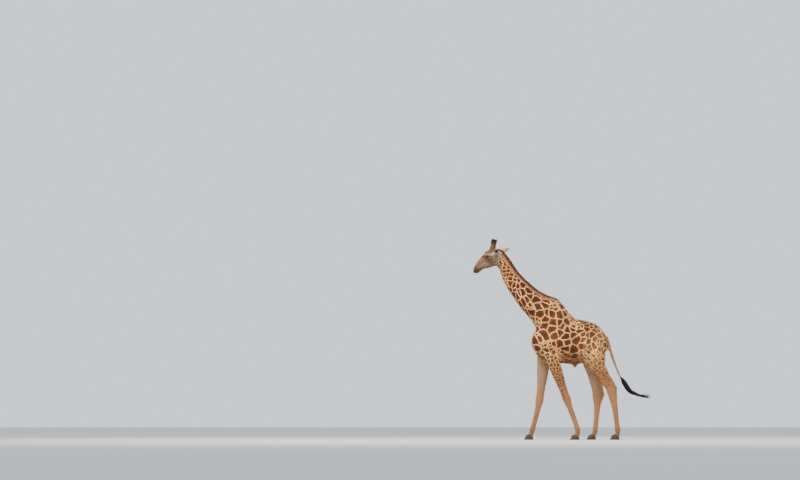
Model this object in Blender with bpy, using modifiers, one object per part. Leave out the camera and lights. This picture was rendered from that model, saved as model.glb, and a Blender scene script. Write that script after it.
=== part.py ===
"""Life-size standing giraffe, a young adult bull walking with its head held forward.

Metres, +Z up, nose towards -Y, the animal's left side towards +X. The flesh is modelled whole, from
lofts along the trunk, neck, head and legs with muscle masses over them, remeshed into one skin and
parted by thin cuts. Hooves, ears, eyes, mane and tail tuft are separate pieces that meet it.
"""

import math

import bmesh
import bpy
import numpy as np
from mathutils import Euler, Matrix, Vector

NAME = "giraffe"

# Driving dimensions
GAP = 0.0003                      # clearance between two pieces that touch
HEAD_YAW = math.radians(-20.0)    # the head is turned to the animal's right
POLL = Vector((0.0, -1.45, 3.95))  # the head turns about the upright line through here
EYE_RADIUS = 0.029
EAR_LENGTH = 0.225
EAR_WIDTH = 0.108
EAR_WALL = 0.007
MANE_THICKNESS = 0.036
MANE_ROOT = 0.020                 # how deep the mane's foot starts inside the neck
HOOF_LENGTH = 0.205
HOOF_WIDTH = 0.070
CLAW_LAP = 0.003                  # how near each claw's wide side comes to the foot's middle line
TOE_FORWARD = 0.030               # the claw's middle ahead of the leg's end
COAT_SWELL = 0.0015               # makes up for what smoothing takes off the slim parts

# Making of the one skin
VOXEL = 0.0095
BODY_SMOOTHING = 64
FLESH_TRIANGLES = 5450

# In the tables below, narrowing is the share of its width a section loses towards its top, and a
# squareness of 2 is an oval.
# Trunk, as upright sections: y, top z, bottom z, half-width, narrowing, squareness
TRUNK = (
    (-0.826, 2.150, 1.985, 0.060, 0.00, 2.0),
    (-0.768, 2.272, 1.880, 0.120, 0.00, 2.0),
    (-0.688, 2.412, 1.770, 0.180, 0.10, 2.1),
    (-0.560, 2.560, 1.690, 0.225, 0.15, 2.1),
    (-0.400, 2.800, 1.640, 0.250, 0.30, 2.1),
    (-0.240, 2.960, 1.620, 0.275, 0.45, 2.0),
    (-0.130, 2.842, 1.615, 0.300, 0.40, 2.0),
    (0.000, 2.668, 1.605, 0.325, 0.28, 2.1),
    (0.085, 2.592, 1.606, 0.331, 0.22, 2.2),
    (0.170, 2.560, 1.610, 0.335, 0.16, 2.2),
    (0.360, 2.520, 1.650, 0.318, 0.14, 2.2),
    (0.540, 2.460, 1.730, 0.285, 0.20, 2.1),
    (0.650, 2.372, 1.800, 0.240, 0.15, 2.0),
    (0.745, 2.230, 1.845, 0.170, 0.05, 2.0),
    (0.802, 2.130, 1.915, 0.080, 0.00, 2.0),
)

# Neck, as slanted sections: crest y, z, throat y, z, half-width, narrowing, squareness
NECK = (
    (-1.445, 4.000, -1.560, 3.700, 0.072, 0.05, 2.1),
    (-1.385, 3.905, -1.517, 3.655, 0.078, 0.10, 2.1),
    (-1.258, 3.733, -1.476, 3.555, 0.084, 0.16, 2.1),
    (-1.106, 3.525, -1.410, 3.359, 0.093, 0.20, 2.1),
    (-0.938, 3.348, -1.303, 3.167, 0.106, 0.22, 2.1),
    (-0.770, 3.200, -1.174, 2.979, 0.123, 0.25, 2.1),
    (-0.612, 3.096, -1.054, 2.804, 0.145, 0.28, 2.1),
    (-0.457, 3.026, -0.928, 2.657, 0.172, 0.32, 2.1),
    (-0.318, 2.994, -0.808, 2.512, 0.205, 0.38, 2.1),
    (-0.200, 2.900, -0.690, 2.300, 0.225, 0.40, 2.1),
    (-0.080, 2.720, -0.600, 2.060, 0.225, 0.35, 2.1),
)

# Head, before it is turned: forehead y, z, jaw y, z, half-width, narrowing, squareness
HEAD = (
    (-2.092, 3.588, -2.066, 3.562, 0.026, 0.00, 2.0),
    (-2.078, 3.640, -2.026, 3.552, 0.050, 0.00, 2.2),
    (-2.048, 3.712, -1.960, 3.570, 0.059, 0.04, 2.3),
    (-2.002, 3.784, -1.898, 3.617, 0.054, 0.10, 2.3),
    (-1.950, 3.846, -1.838, 3.643, 0.058, 0.12, 2.3),
    (-1.892, 3.910, -1.772, 3.655, 0.070, 0.10, 2.4),
    (-1.836, 3.963, -1.703, 3.668, 0.087, 0.04, 2.5),
    (-1.775, 4.008, -1.640, 3.692, 0.100, 0.00, 2.5),
    (-1.700, 4.062, -1.585, 3.700, 0.104, 0.04, 2.4),
    (-1.600, 4.072, -1.530, 3.712, 0.097, 0.12, 2.3),
    (-1.510, 4.038, -1.480, 3.740, 0.082, 0.14, 2.2),
    (-1.440, 3.970, -1.430, 3.800, 0.060, 0.00, 2.0),
)

# Legs: centre line x, y, z of each joint, the left leg's x positive
LEFT_FORE = {
    "shoulder": (0.180, -0.520, 2.150), "elbow": (0.188, -0.370, 1.660), "knee": (0.165, -0.088, 0.865),
    "fetlock": (0.158, 0.138, 0.225), "coronet": (0.158, 0.106, 0.080),
}
RIGHT_FORE = {
    "shoulder": (-0.180, -0.560, 2.150), "elbow": (-0.188, -0.555, 1.660), "knee": (-0.165, -0.646, 0.840),
    "fetlock": (-0.158, -0.800, 0.210), "coronet": (-0.158, -0.852, 0.080),
}
LEFT_HIND = {
    "hip": (0.175, 0.480, 2.150), "stifle": (0.205, 0.475, 1.760), "gaskin": (0.185, 0.712, 1.310),
    "hock": (0.165, 0.868, 1.025), "fetlock": (0.158, 0.986, 0.220), "coronet": (0.158, 0.952, 0.080),
}
RIGHT_HIND = {
    "hip": (-0.175, 0.480, 2.150), "stifle": (-0.205, 0.460, 1.740), "gaskin": (-0.185, 0.540, 1.290),
    "hock": (-0.165, 0.592, 0.935), "fetlock": (-0.158, 0.538, 0.220), "coronet": (-0.158, 0.480, 0.080),
}
# Girths: place along the leg in joints, half-depth, half-width
FORE_GIRTHS = (
    (0.00, 0.130, 0.050), (0.50, 0.165, 0.075), (1.00, 0.144, 0.084), (1.20, 0.134, 0.077),
    (1.45, 0.110, 0.069), (1.70, 0.088, 0.059), (1.90, 0.083, 0.061), (2.00, 0.087, 0.069),
    (2.12, 0.076, 0.061), (2.25, 0.060, 0.048), (2.55, 0.056, 0.042), (2.86, 0.055, 0.044),
    (3.00, 0.059, 0.051), (3.35, 0.050, 0.045), (3.75, 0.054, 0.054), (4.00, 0.060, 0.060),
)
HIND_GIRTHS = (
    (0.00, 0.190, 0.070), (0.45, 0.245, 0.108), (1.00, 0.230, 0.112), (1.40, 0.175, 0.098),
    (1.70, 0.146, 0.086), (2.00, 0.130, 0.076), (2.50, 0.122, 0.065), (2.85, 0.112, 0.061),
    (3.00, 0.109, 0.067), (3.14, 0.097, 0.062), (3.32, 0.072, 0.050), (3.62, 0.055, 0.041),
    (3.90, 0.054, 0.044), (4.00, 0.059, 0.051), (4.35, 0.050, 0.045), (4.75, 0.053, 0.054),
    (5.00, 0.060, 0.060),
)

TAIL = (  # centre x, y, z, radius
    (0.000, 0.700, 2.230, 0.055), (0.000, 0.780, 2.130, 0.048), (0.000, 0.828, 1.995, 0.037),
    (0.000, 0.870, 1.845, 0.034), (0.000, 0.932, 1.658, 0.030), (0.000, 1.004, 1.472, 0.027),
    (0.000, 1.078, 1.300, 0.024),
)
TUFT = (
    (0.000, 1.076, 1.318, 0.024), (0.000, 1.118, 1.262, 0.046), (0.000, 1.156, 1.195, 0.058),
    (0.000, 1.206, 1.105, 0.048), (0.000, 1.300, 1.008, 0.040), (0.000, 1.407, 0.955, 0.034),
    (0.000, 1.513, 0.936, 0.031), (0.000, 1.620, 0.915, 0.034), (0.000, 1.690, 0.925, 0.022),
    (0.000, 1.726, 0.945, 0.008),
)
MANE = (  # y, z of the crest's tips, height above the neck
    (-1.540, 4.062, 0.022), (-1.490, 4.058, 0.040), (-1.428, 4.020, 0.058), (-1.348, 3.939, 0.066),
    (-1.255, 3.823, 0.068), (-1.170, 3.687, 0.066), (-1.072, 3.551, 0.064), (-0.965, 3.433, 0.062),
    (-0.852, 3.334, 0.062), (-0.745, 3.241, 0.060), (-0.638, 3.158, 0.056), (-0.497, 3.084, 0.050),
    (-0.372, 3.036, 0.042), (-0.290, 3.010, 0.034), (-0.215, 2.962, 0.010),
)

# Ears, before the head is turned: base, aim, and the way the cup opens
EARS = {
    "ear_left": ((0.072, -1.520, 4.008), (0.96, -0.10, -0.25), (0.07, 0.69, 0.60)),
    "ear_right": ((-0.072, -1.522, 4.002), (-0.42, 0.85, 0.36), (-0.30, -0.80, -0.20)),
}

COLOURS = {
    "coat": (0.45, 0.24, 0.10), "horn": (0.10, 0.06, 0.05), "hoof": (0.12, 0.09, 0.07),
    "eye": (0.02, 0.012, 0.008), "mane": (0.16, 0.06, 0.03), "tuft": (0.02, 0.017, 0.016),
}


def clear_scene():
    for item in list(bpy.data.objects):
        bpy.data.objects.remove(item, do_unlink=True)


def collection(name):
    made = bpy.data.collections.new(name)
    bpy.context.scene.collection.children.link(made)
    return made


def material(name, colour, roughness):
    made = bpy.data.materials.new(name)
    made.use_nodes = True
    shader = made.node_tree.nodes["Principled BSDF"]
    shader.inputs["Base Color"].default_value = (*colour, 1.0)
    shader.inputs["Roughness"].default_value = roughness
    shader.inputs["Metallic"].default_value = 0.0
    return made


def curve_through(rows, steps):
    """Rows of a smooth curve through the given rows (Catmull-Rom), with their numbers blended."""
    rows = np.array(rows, dtype=float)
    padded = np.vstack((2 * rows[0] - rows[1], rows, 2 * rows[-1] - rows[-2]))
    made = []
    for i in range(1, len(padded) - 2):
        a, b, c, d = padded[i - 1:i + 3]
        for step in range(steps):
            t = step / steps
            made.append(0.5 * (2 * b + (c - a) * t + (2 * a - 5 * b + 4 * c - d) * t ** 2
                               + (3 * b - a - 3 * c + d) * t ** 3))
    made.append(rows[-1])
    return made


def ring(centre, up, side, half_depth, half_width, narrowing, squareness, sides):
    """One closed section: an oval that narrows towards +up and squares off as its power rises."""
    points = []
    for i in range(sides):
        angle = 2 * math.pi * i / sides
        across = math.copysign(abs(math.cos(angle)) ** (2 / squareness), math.cos(angle))
        along = math.copysign(abs(math.sin(angle)) ** (2 / squareness), math.sin(angle))
        width = half_width * (1 - narrowing * max(along, -0.3))
        points.append(centre + up * (half_depth * along) + side * (width * across))
    return points


def loft(mesh, rings):
    """A closed tube through the rings, with flat ends."""
    rows = [[mesh.verts.new(point) for point in points] for points in rings]
    count = len(rows[0])
    made = [mesh.faces.new(rows[0][::-1]), mesh.faces.new(rows[-1])]
    for low, high in zip(rows, rows[1:]):
        for i in range(count):
            j = (i + 1) % count
            made.append(mesh.faces.new((low[i], low[j], high[j], high[i])))
    bmesh.ops.recalc_face_normals(mesh, faces=made)
    return [vert for row in rows for vert in row]


def midline_loft(mesh, stations, steps=6, sides=40):
    """A loft whose sections stand in planes across the midline, each between two outline points."""
    rings = []
    for y1, z1, y2, z2, half_width, narrowing, squareness in curve_through(stations, steps):
        top = Vector((0.0, y1, z1))
        bottom = Vector((0.0, y2, z2))
        up = (top - bottom).normalized()
        half_depth = (top - bottom).length / 2 + COAT_SWELL
        rings.append(ring((top + bottom) / 2, up, Vector((1, 0, 0)), half_depth,
                          half_width + COAT_SWELL, narrowing, squareness, sides))
    return loft(mesh, rings)


def trunk_stations():
    return [(y, top, y, bottom, width, narrowing, square)
            for y, top, bottom, width, narrowing, square in TRUNK]


def leg(mesh, joints, girths, samples=56, sides=28):
    """A loft down the leg's joints, its girth read from the table at each place."""
    joints = list(joints.values())
    steps = 12
    line = [Vector(point) for point in curve_through(joints, steps)]
    places, depths, widths = (np.array(column) for column in zip(*girths))
    rings = []
    for i in range(samples + 1):
        at = (len(joints) - 1) * i / samples
        index = min(int(at * steps), len(line) - 2)
        centre = line[index].lerp(line[index + 1], at * steps - index)
        down = (line[index + 1] - line[index]).normalized()
        front = Vector((1, 0, 0)).cross(down).normalized()
        side = down.cross(front).normalized()
        depth = float(np.interp(at, places, depths)) + COAT_SWELL
        width = float(np.interp(at, places, widths)) + COAT_SWELL
        rings.append(ring(centre, front, side, depth, width, 0.0, 2.1, sides))
    return loft(mesh, rings)


def ellipsoid(mesh, centre, radii, tilt=(0.0, 0.0, 0.0)):
    """A stretched ball, tilted by degrees about X, Y and Z."""
    turn = Euler([math.radians(angle) for angle in tilt]).to_matrix().to_4x4()
    place = Matrix.Translation(centre) @ turn @ Matrix.Diagonal((*radii, 1.0))
    made = bmesh.ops.create_uvsphere(mesh, u_segments=28, v_segments=18, radius=1.0, matrix=place)
    return made["verts"]


def tube(mesh, stations, steps=5, sides=18):
    """A round tapering tube along centres and radii, in the midline plane or out of it."""
    rows = curve_through(stations, steps)
    rings = []
    for i, row in enumerate(rows):
        ahead = Vector(rows[min(i + 1, len(rows) - 1)][:3])
        behind = Vector(rows[max(i - 1, 0)][:3])
        along = (ahead - behind).normalized()
        side = Vector((0, 1, 0)).cross(along) if abs(along.x) > 0.9 else Vector((1, 0, 0))
        side = (side - along * side.dot(along)).normalized()
        rings.append(ring(Vector(row[:3]), along.cross(side), side, row[3], row[3], 0.0, 2.0, sides))
    return loft(mesh, rings)


def turn_head(points):
    """Head points, modelled looking straight ahead, turned about the poll."""
    turn = Matrix.Rotation(HEAD_YAW, 3, "Z")
    for vert in points:
        vert.co = turn @ (vert.co - POLL) + POLL


def head_forms(mesh):
    """The skull's loft with brows, cheeks, forehead lump and the bases and shafts of the ossicones."""
    points = midline_loft(mesh, HEAD)
    points += ellipsoid(mesh, (0.0, -1.778, 3.972), (0.050, 0.054, 0.054), (35, 0, 0))
    for s in (1, -1):
        points += ellipsoid(mesh, (s * 0.086, -1.741, 3.900), (0.036, 0.054, 0.043), (38, 0, 0))
        points += ellipsoid(mesh, (s * 0.066, -1.640, 3.800), (0.040, 0.090, 0.088), (30, 0, 0))
        points += ellipsoid(mesh, (s * 0.038, -2.018, 3.652), (0.025, 0.030, 0.042), (38, 0, 0))
        points += tube(mesh, (
            (s * 0.056, -1.666, 3.990, 0.056), (s * 0.064, -1.652, 4.060, 0.048),
            (s * 0.073, -1.640, 4.115, 0.038), (s * 0.081, -1.629, 4.180, 0.0335),
            (s * 0.087, -1.618, 4.226, 0.0355), (s * 0.089, -1.613, 4.252, 0.0320),
            (s * 0.089, -1.620, 4.264, 0.012)))
    turn_head(points)


def shoulder_and_hip_forms(mesh):
    """Muscle and bone that shows under the skin of the trunk."""
    for s in (1, -1):
        ellipsoid(mesh, (s * 0.160, -0.425, 2.330), (0.078, 0.165, 0.430), (-24, s * -9, 0))
        ellipsoid(mesh, (s * 0.155, -0.648, 2.105), (0.092, 0.165, 0.200), (8, 0, s * -10))
        ellipsoid(mesh, (s * 0.175, -0.560, 1.960), (0.085, 0.165, 0.260), (14, 0, 0))
        ellipsoid(mesh, (s * 0.190, -0.400, 1.860), (0.080, 0.185, 0.210), (0, 0, 0))
        ellipsoid(mesh, (s * 0.170, 0.400, 2.250), (0.100, 0.200, 0.150), (-10, s * -20, 0))
        ellipsoid(mesh, (s * 0.175, 0.580, 2.000), (0.090, 0.190, 0.280), (6, 0, 0))
        ellipsoid(mesh, (s * 0.172, 0.598 + s * 0.012, 1.815), (0.078, 0.138, 0.310), (-3 + s * 9, 0, 0))
        ellipsoid(mesh, (s * 0.205, 0.345, 1.860), (0.078, 0.130, 0.210), (8, 0, 0))
    ellipsoid(mesh, (0.0, -0.590, 1.950), (0.120, 0.190, 0.240), (16, 0, 0))
    ellipsoid(mesh, (0.0, 0.100, 1.576), (0.034, 0.066, 0.062), (-8, 0, 0))


def leg_forms(mesh):
    """The four legs, with the heel bone and its tendon, and the knee's front and rear bones."""
    for s, joints in ((1, LEFT_FORE), (-1, RIGHT_FORE)):
        leg(mesh, joints, FORE_GIRTHS)
        x, y, z = joints["knee"]
        lean = math.atan2(joints["fetlock"][1] - y, z - joints["fetlock"][2])
        ellipsoid(mesh, (x, y - 0.020, z + 0.010), (0.064, 0.065 - s * 0.003, 0.088),
                  (math.degrees(lean), 0, 0))
        ellipsoid(mesh, (x, y + 0.046, z + 0.040), (0.034, 0.032, 0.060), (math.degrees(lean), 0, 0))
    for s, joints in ((1, LEFT_HIND), (-1, RIGHT_HIND)):
        leg(mesh, joints, HIND_GIRTHS)
        hock = Vector(joints["hock"])
        gaskin = Vector(joints["gaskin"])
        shin = Vector(joints["fetlock"]) - hock
        back = Vector((1, 0, 0)).cross(shin).normalized()
        back = back if back.y > 0 else -back
        heel = hock + back * (0.094 if s > 0 else 0.116) - shin.normalized() * 0.062
        calf = gaskin.lerp(hock, -0.30) + Vector((0.0, 0.082, 0.030))
        tube(mesh, (
            (*calf, 0.050), (*calf.lerp(heel, 0.5), 0.034), (*calf.lerp(heel, 0.85), 0.031),
            (*heel, 0.033), (*(heel + shin.normalized() * 0.12 - back * 0.022), 0.028),
            (*(hock + shin * 0.34 + back * 0.030), 0.018)))


def whole_flesh():
    """All the forms in one mesh, made one skin by voxels, smoothed, and thinned to few triangles."""
    mesh = bmesh.new()
    midline_loft(mesh, trunk_stations())
    midline_loft(mesh, NECK)
    head_forms(mesh)
    shoulder_and_hip_forms(mesh)
    leg_forms(mesh)
    tube(mesh, TAIL)
    data = bpy.data.meshes.new("flesh_forms")
    mesh.to_mesh(data)
    mesh.free()
    item = bpy.data.objects.new("flesh", data)
    bpy.context.scene.collection.objects.link(item)
    remesh = item.modifiers.new("one_skin", "REMESH")
    remesh.mode = "VOXEL"
    remesh.voxel_size = VOXEL
    bake_modifiers(item)
    number_edges(item)
    smoothing = item.vertex_groups.new(name="smoothing")
    detail = item.vertex_groups.new(name="thinning")
    for vert in item.data.vertices:
        smoothing.add([vert.index], smoothing_at(vert.co), "REPLACE")
        detail.add([vert.index], thinning_at(vert.co), "REPLACE")
    smooth = item.modifiers.new("smooth", "SMOOTH")
    smooth.factor = 0.6
    smooth.iterations = BODY_SMOOTHING
    smooth.vertex_group = "smoothing"
    bake_modifiers(item)
    thin = item.modifiers.new("thin", "DECIMATE")
    thin.ratio = FLESH_TRIANGLES / (2 * len(item.data.polygons))
    thin.vertex_group = "thinning"
    thin.vertex_group_factor = 1.0
    thin.use_collapse_triangulate = True
    bake_modifiers(item)
    item.vertex_groups.clear()
    return item


def number_edges(item):
    """The same mesh with its edges numbered face by face, so that every computer thins it alike."""
    mesh = bmesh.new()
    verts = [mesh.verts.new(vert.co) for vert in item.data.vertices]
    for face in item.data.polygons:
        mesh.faces.new([verts[index] for index in face.vertices])
    mesh.to_mesh(item.data)
    mesh.free()


def smoothing_at(place):
    """Full on the trunk and neck base, light on the head and slim legs."""
    if place.y < -1.48 and place.z > 3.4:
        return 0.06
    if place.z < 1.62:
        return 0.08 + 0.40 * max(0.0, (place.z - 1.22) / 0.40)
    if place.y > 0.80:
        return 0.14
    return 1.0 if place.y > -1.2 else 0.4


def thinning_at(place):
    """The head keeps smaller triangles than the rest."""
    if place.z > 4.09:
        return 0.05
    if place.y < -1.40 and place.z > 3.4:
        return 0.22
    if place.y > 0.80 and place.z > 1.25 and abs(place.x) < 0.06:
        return 0.12
    return 0.55 if place.z < 1.45 else 1.0


def bake_modifiers(item):
    """The object's mesh as its modifiers leave it."""
    graph = bpy.context.evaluated_depsgraph_get()
    made = bpy.data.meshes.new_from_object(item.evaluated_get(graph), depsgraph=graph)
    item.modifiers.clear()
    old = item.data
    item.data = made
    bpy.data.meshes.remove(old)


def cutter(name, mesh, group):
    """An object that only cuts: its mesh goes in the cutters' collection, drawn as wire."""
    data = bpy.data.meshes.new(name)
    mesh.to_mesh(data)
    mesh.free()
    item = bpy.data.objects.new(name, data)
    item.hide_render = True
    item.display_type = "WIRE"
    group.objects.link(item)
    return item


def slab(mesh, centre, across, size):
    """A plate GAP thick whose face looks along `across`, `size` wide along X and in its plane."""
    normal = Vector(across).normalized()
    side = Vector((1, 0, 0))
    if abs(normal.x) > 0.9:
        side = Vector((0, 1, 0))
    side = (side - normal * side.dot(normal)).normalized()
    up = normal.cross(side)
    frame = Matrix((side * size[0], up * size[1], normal * GAP)).transposed().to_4x4()
    bmesh.ops.create_cube(mesh, size=1.0, matrix=Matrix.Translation(centre) @ frame)


def on_turned_head(point):
    return Matrix.Rotation(HEAD_YAW, 3, "Z") @ (Vector(point) - POLL) + POLL


def parting_cuts(group):
    """Thin plates where head, neck, trunk, tail, ossicones and leg lengths part."""
    mesh = bmesh.new()
    slab(mesh, (0.0, -1.462, 3.850), (0.0, 0.97, -0.25), (0.9, 0.9))
    slab(mesh, (0.0, -0.475, 2.650), (0.0, 0.80, -0.60), (1.0, 1.3))
    slab(mesh, (0.0, 0.866, 1.860), (0.0, 0.34, -0.94), (0.2, 0.13))
    for s in (1, -1):
        slab(mesh, on_turned_head((s * 0.072, -1.645, 4.112)), (0.0, 0.15, 0.99), (0.11, 0.17))
    for s, joints, top in ((1, LEFT_FORE, "elbow"), (-1, RIGHT_FORE, "elbow"),
                           (1, LEFT_HIND, "gaskin"), (-1, RIGHT_HIND, "gaskin")):
        fore = top == "elbow"
        y = joints[top][1]
        high = (0.22 * s, y + 0.03, 1.585) if fore else (0.22 * s, y - 0.08, 1.565)
        slab(mesh, high, (0.0, 0.0, 1.0), (0.40, 0.80))
        bend = Vector(joints["knee" if fore else "hock"])
        shin = (Vector(joints["fetlock"]) - bend).normalized()
        slab(mesh, bend + shin * (0.115 if fore else 0.150), shin, (0.26, 0.40))
        slab(mesh, coronet_middle(joints), coronet_normal(), (0.26, 0.34))
    return cutter("parting_cuts", mesh, group)


def coronet_normal():
    """The hoof's upper edge falls from toe to heel."""
    return Vector((0.0, 0.30, 0.954))


def coronet_middle(joints):
    """The middle of the cut between leg and hooves."""
    return Vector(joints["coronet"]) + Vector((0.0, 0.0, 0.005))


def subtract(item, tool):
    cut = item.modifiers.new("cut", "BOOLEAN")
    cut.operation = "DIFFERENCE"
    cut.solver = "EXACT"
    cut.object = tool
    bake_modifiers(item)


def grown_copy(item, distance, group):
    """A cutter a little larger than a piece, so that what it cuts keeps clear of the piece."""
    data = item.data.copy()
    made = bpy.data.objects.new(item.name + "_clearance", data)
    made.hide_render = True
    made.display_type = "WIRE"
    group.objects.link(made)
    grow = made.modifiers.new("grow", "DISPLACE")
    grow.strength = distance
    grow.mid_level = 0.0
    bake_modifiers(made)
    return made


def loose_pieces(item):
    """The separate closed bodies of a mesh, as new meshes, largest first."""
    mesh = bmesh.new()
    mesh.from_mesh(item.data)
    seen = set()
    groups = []
    for start in mesh.verts:
        if start.index in seen:
            continue
        stack = [start]
        seen.add(start.index)
        group = []
        while stack:
            vert = stack.pop()
            group.append(vert.index)
            for edge in vert.link_edges:
                other = edge.other_vert(vert)
                if other.index not in seen:
                    seen.add(other.index)
                    stack.append(other)
        groups.append(set(group))
    mesh.free()
    made = []
    for group in sorted(groups, key=len, reverse=True):
        part = bmesh.new()
        part.from_mesh(item.data)
        bmesh.ops.delete(part, geom=[v for v in part.verts if v.index not in group], context="VERTS")
        data = bpy.data.meshes.new("piece")
        part.to_mesh(data)
        part.free()
        made.append(data)
    return made


def flesh_places():
    """Where the middle of each parted piece of flesh lies, to name it by."""
    places = {
        "head": on_turned_head((0.0, -1.75, 3.84)),
        "ossicone_left": on_turned_head((0.075, -1.635, 4.19)),
        "ossicone_right": on_turned_head((-0.075, -1.635, 4.19)),
        "neck": Vector((0.0, -0.95, 3.15)),
        "trunk": Vector((0.0, 0.0, 2.15)),
        "tail": Vector((0.0, 0.97, 1.62)),
    }
    for name, joints, high, bend in (
            ("foreleg_left", LEFT_FORE, "elbow", "knee"), ("foreleg_right", RIGHT_FORE, "elbow", "knee"),
            ("hindleg_left", LEFT_HIND, "gaskin", "hock"), ("hindleg_right", RIGHT_HIND, "gaskin", "hock")):
        top, middle = Vector(joints[high]), Vector(joints[bend])
        low = Vector(joints["coronet"])
        places[name + "_upper"] = top.lerp(middle, 0.5)
        places[name + "_lower"] = middle.lerp(low, 0.5)
        places[name + "_stump"] = Vector((low.x, low.y, 0.04))
    return places


def add_object(name, data, look, group, shown_smooth=True):
    data.name = name
    data.materials.clear()
    data.materials.append(look)
    item = bpy.data.objects.new(name, data)
    group.objects.link(item)
    if shown_smooth:
        data.shade_smooth()
        data.set_sharp_from_angle(angle=math.radians(40))
    return item


def part_flesh(flesh, looks, group):
    """The whole body cut into its named pieces; the stumps inside the hooves are dropped."""
    places = flesh_places()
    made = {}
    for data in loose_pieces(flesh):
        corners = np.array([vert.co for vert in data.vertices])
        middle = Vector((corners.min(axis=0) + corners.max(axis=0)) / 2)
        name = min(places, key=lambda key: (places[key] - middle).length)
        if name in made or name.endswith("_stump"):
            bpy.data.meshes.remove(data)
            continue
        look = looks["horn"] if name.startswith("ossicone") else looks["coat"]
        made[name] = add_object(name, data, look, group)
    return made


def hoof(name, middle, inward, coronet, look, group):
    """One of a foot's two claws: a flat sole, a sloping front wall and a top that meets the leg.

    The toe is pinched and turned a little inward, and the inner side is flatter than the outer.
    """
    x, y = middle
    rows = (  # height share, length share, width share, shift towards the heel
        (0.00, 0.98, 0.96, 0.000), (0.10, 1.00, 1.00, 0.001), (0.88, 0.74, 0.92, 0.026),
        (1.00, 0.69, 0.86, 0.030))
    sides = 12
    normal = coronet_normal()
    mesh = bmesh.new()
    rings = []
    for height, length, width, shift in rows:
        points = []
        for i in range(sides):
            angle = 2 * math.pi * i / sides
            forward = math.cos(angle)
            across = math.sin(angle)
            pinch = 1.0 - 0.38 * max(forward, 0.0) ** 2
            if across * inward > 0:
                px = x + across * HOOF_WIDTH / 2 * width * pinch * 0.80
            else:
                px = x + across * HOOF_WIDTH / 2 * width * pinch - inward * 0.008 * max(forward, 0.0)
            py = y - forward * HOOF_LENGTH / 2 * length + shift
            top = coronet.z - ((px - coronet.x) * normal.x + (py - coronet.y) * normal.y) / normal.z
            points.append(Vector((px, py, top * height)))
        rings.append(points)
    loft(mesh, rings)
    data = bpy.data.meshes.new(name)
    mesh.to_mesh(data)
    mesh.free()
    return add_object(name, data, look, group)


def hooves(looks, group):
    for foot, joints in (("fore_left", LEFT_FORE), ("fore_right", RIGHT_FORE),
                         ("hind_left", LEFT_HIND), ("hind_right", RIGHT_HIND)):
        coronet = coronet_middle(joints) - coronet_normal() * (GAP / 2)
        for claw, s in (("outer", 1), ("inner", -1)):
            outward = s * math.copysign(1.0, coronet.x)
            x = coronet.x + outward * (HOOF_WIDTH / 2 - CLAW_LAP)
            hoof(f"hoof_{foot}_{claw}", (x, coronet.y - TOE_FORWARD), -outward, coronet,
                 looks["hoof"], group)


def ear(name, base, aim, opening, look, group):
    """A cupped leaf-shaped shell: an open sheet rolled towards its opening, given a wall."""
    aim = Vector(aim).normalized()
    opening = Vector(opening)
    opening = (opening - aim * opening.dot(aim)).normalized()
    across = aim.cross(opening)
    rows, columns = 8, 6
    root_roll, tip_roll = math.radians(205), math.radians(85)
    tip_width, tip_bend = 0.012, 0.012
    mesh = bmesh.new()
    grid = []
    for i in range(rows):
        t = i / (rows - 1)
        leaf = math.sin(math.pi * (0.12 + t * 0.88) ** 0.85) ** 0.8 if i < rows - 1 else 0.0
        width = max(EAR_WIDTH * (0.30 + 0.70 * leaf) * (1.0 - t ** 5), tip_width)
        roll = root_roll + (tip_roll - root_roll) * t
        radius = width / roll * 1.25
        line = []
        for j in range(columns):
            u = (j / (columns - 1) - 0.5) * roll
            depth = radius * (math.cos(roll / 2) - math.cos(u)) - tip_bend * t * t
            out = aim * (EAR_LENGTH * t) + across * (radius * math.sin(u)) + opening * depth
            line.append(mesh.verts.new(Vector(base) + out))
        grid.append(line)
    for low, high in zip(grid, grid[1:]):
        for j in range(columns - 1):
            mesh.faces.new((low[j], low[j + 1], high[j + 1], high[j]))
    bmesh.ops.recalc_face_normals(mesh, faces=mesh.faces)
    data = bpy.data.meshes.new(name)
    mesh.to_mesh(data)
    mesh.free()
    item = add_object(name, data, look, group)
    wall = item.modifiers.new("wall", "SOLIDIFY")
    wall.thickness = EAR_WALL
    wall.offset = 0.0
    bake_modifiers(item)
    return item


def eye(name, centre, look, group):
    mesh = bmesh.new()
    bmesh.ops.create_uvsphere(mesh, u_segments=12, v_segments=8, radius=EYE_RADIUS,
                              matrix=Matrix.Translation(centre))
    data = bpy.data.meshes.new(name)
    mesh.to_mesh(data)
    mesh.free()
    return add_object(name, data, look, group)


def socket_cutter(centres, group):
    mesh = bmesh.new()
    for centre in centres:
        bmesh.ops.create_uvsphere(mesh, u_segments=12, v_segments=8, radius=EYE_RADIUS + GAP,
                                  matrix=Matrix.Translation(centre))
    return cutter("eye_sockets", mesh, group)


def mane(look, group):
    """The stiff upright crest: thin lens-shaped sections standing on the neck."""
    mesh = bmesh.new()
    rows = curve_through(MANE, 1)
    rings = []
    for i, (y, z, height) in enumerate(rows):
        ahead, behind = rows[min(i + 1, len(rows) - 1)], rows[max(i - 1, 0)]
        along = Vector((0.0, ahead[0] - behind[0], ahead[1] - behind[1])).normalized()
        up = Vector((1, 0, 0)).cross(along)
        up = up if up.z > 0 else -up
        depth = height + MANE_ROOT
        centre = Vector((0.0, y, z)) - up * (depth / 2)
        share = min(max((POLL.y + 0.10 - y) / 0.15, 0.0), 1.0)
        turn = Matrix.Rotation(HEAD_YAW * share, 3, "Z")
        centre = turn @ (centre - POLL) + POLL
        rings.append(ring(centre, turn @ up, turn @ Vector((1, 0, 0)), depth / 2, MANE_THICKNESS / 2,
                          0.35, 2.6, 8))
    loft(mesh, rings)
    bmesh.ops.triangulate(mesh, faces=mesh.faces)
    data = bpy.data.meshes.new("mane")
    mesh.to_mesh(data)
    mesh.free()
    return add_object("mane", data, look, group)


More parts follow.
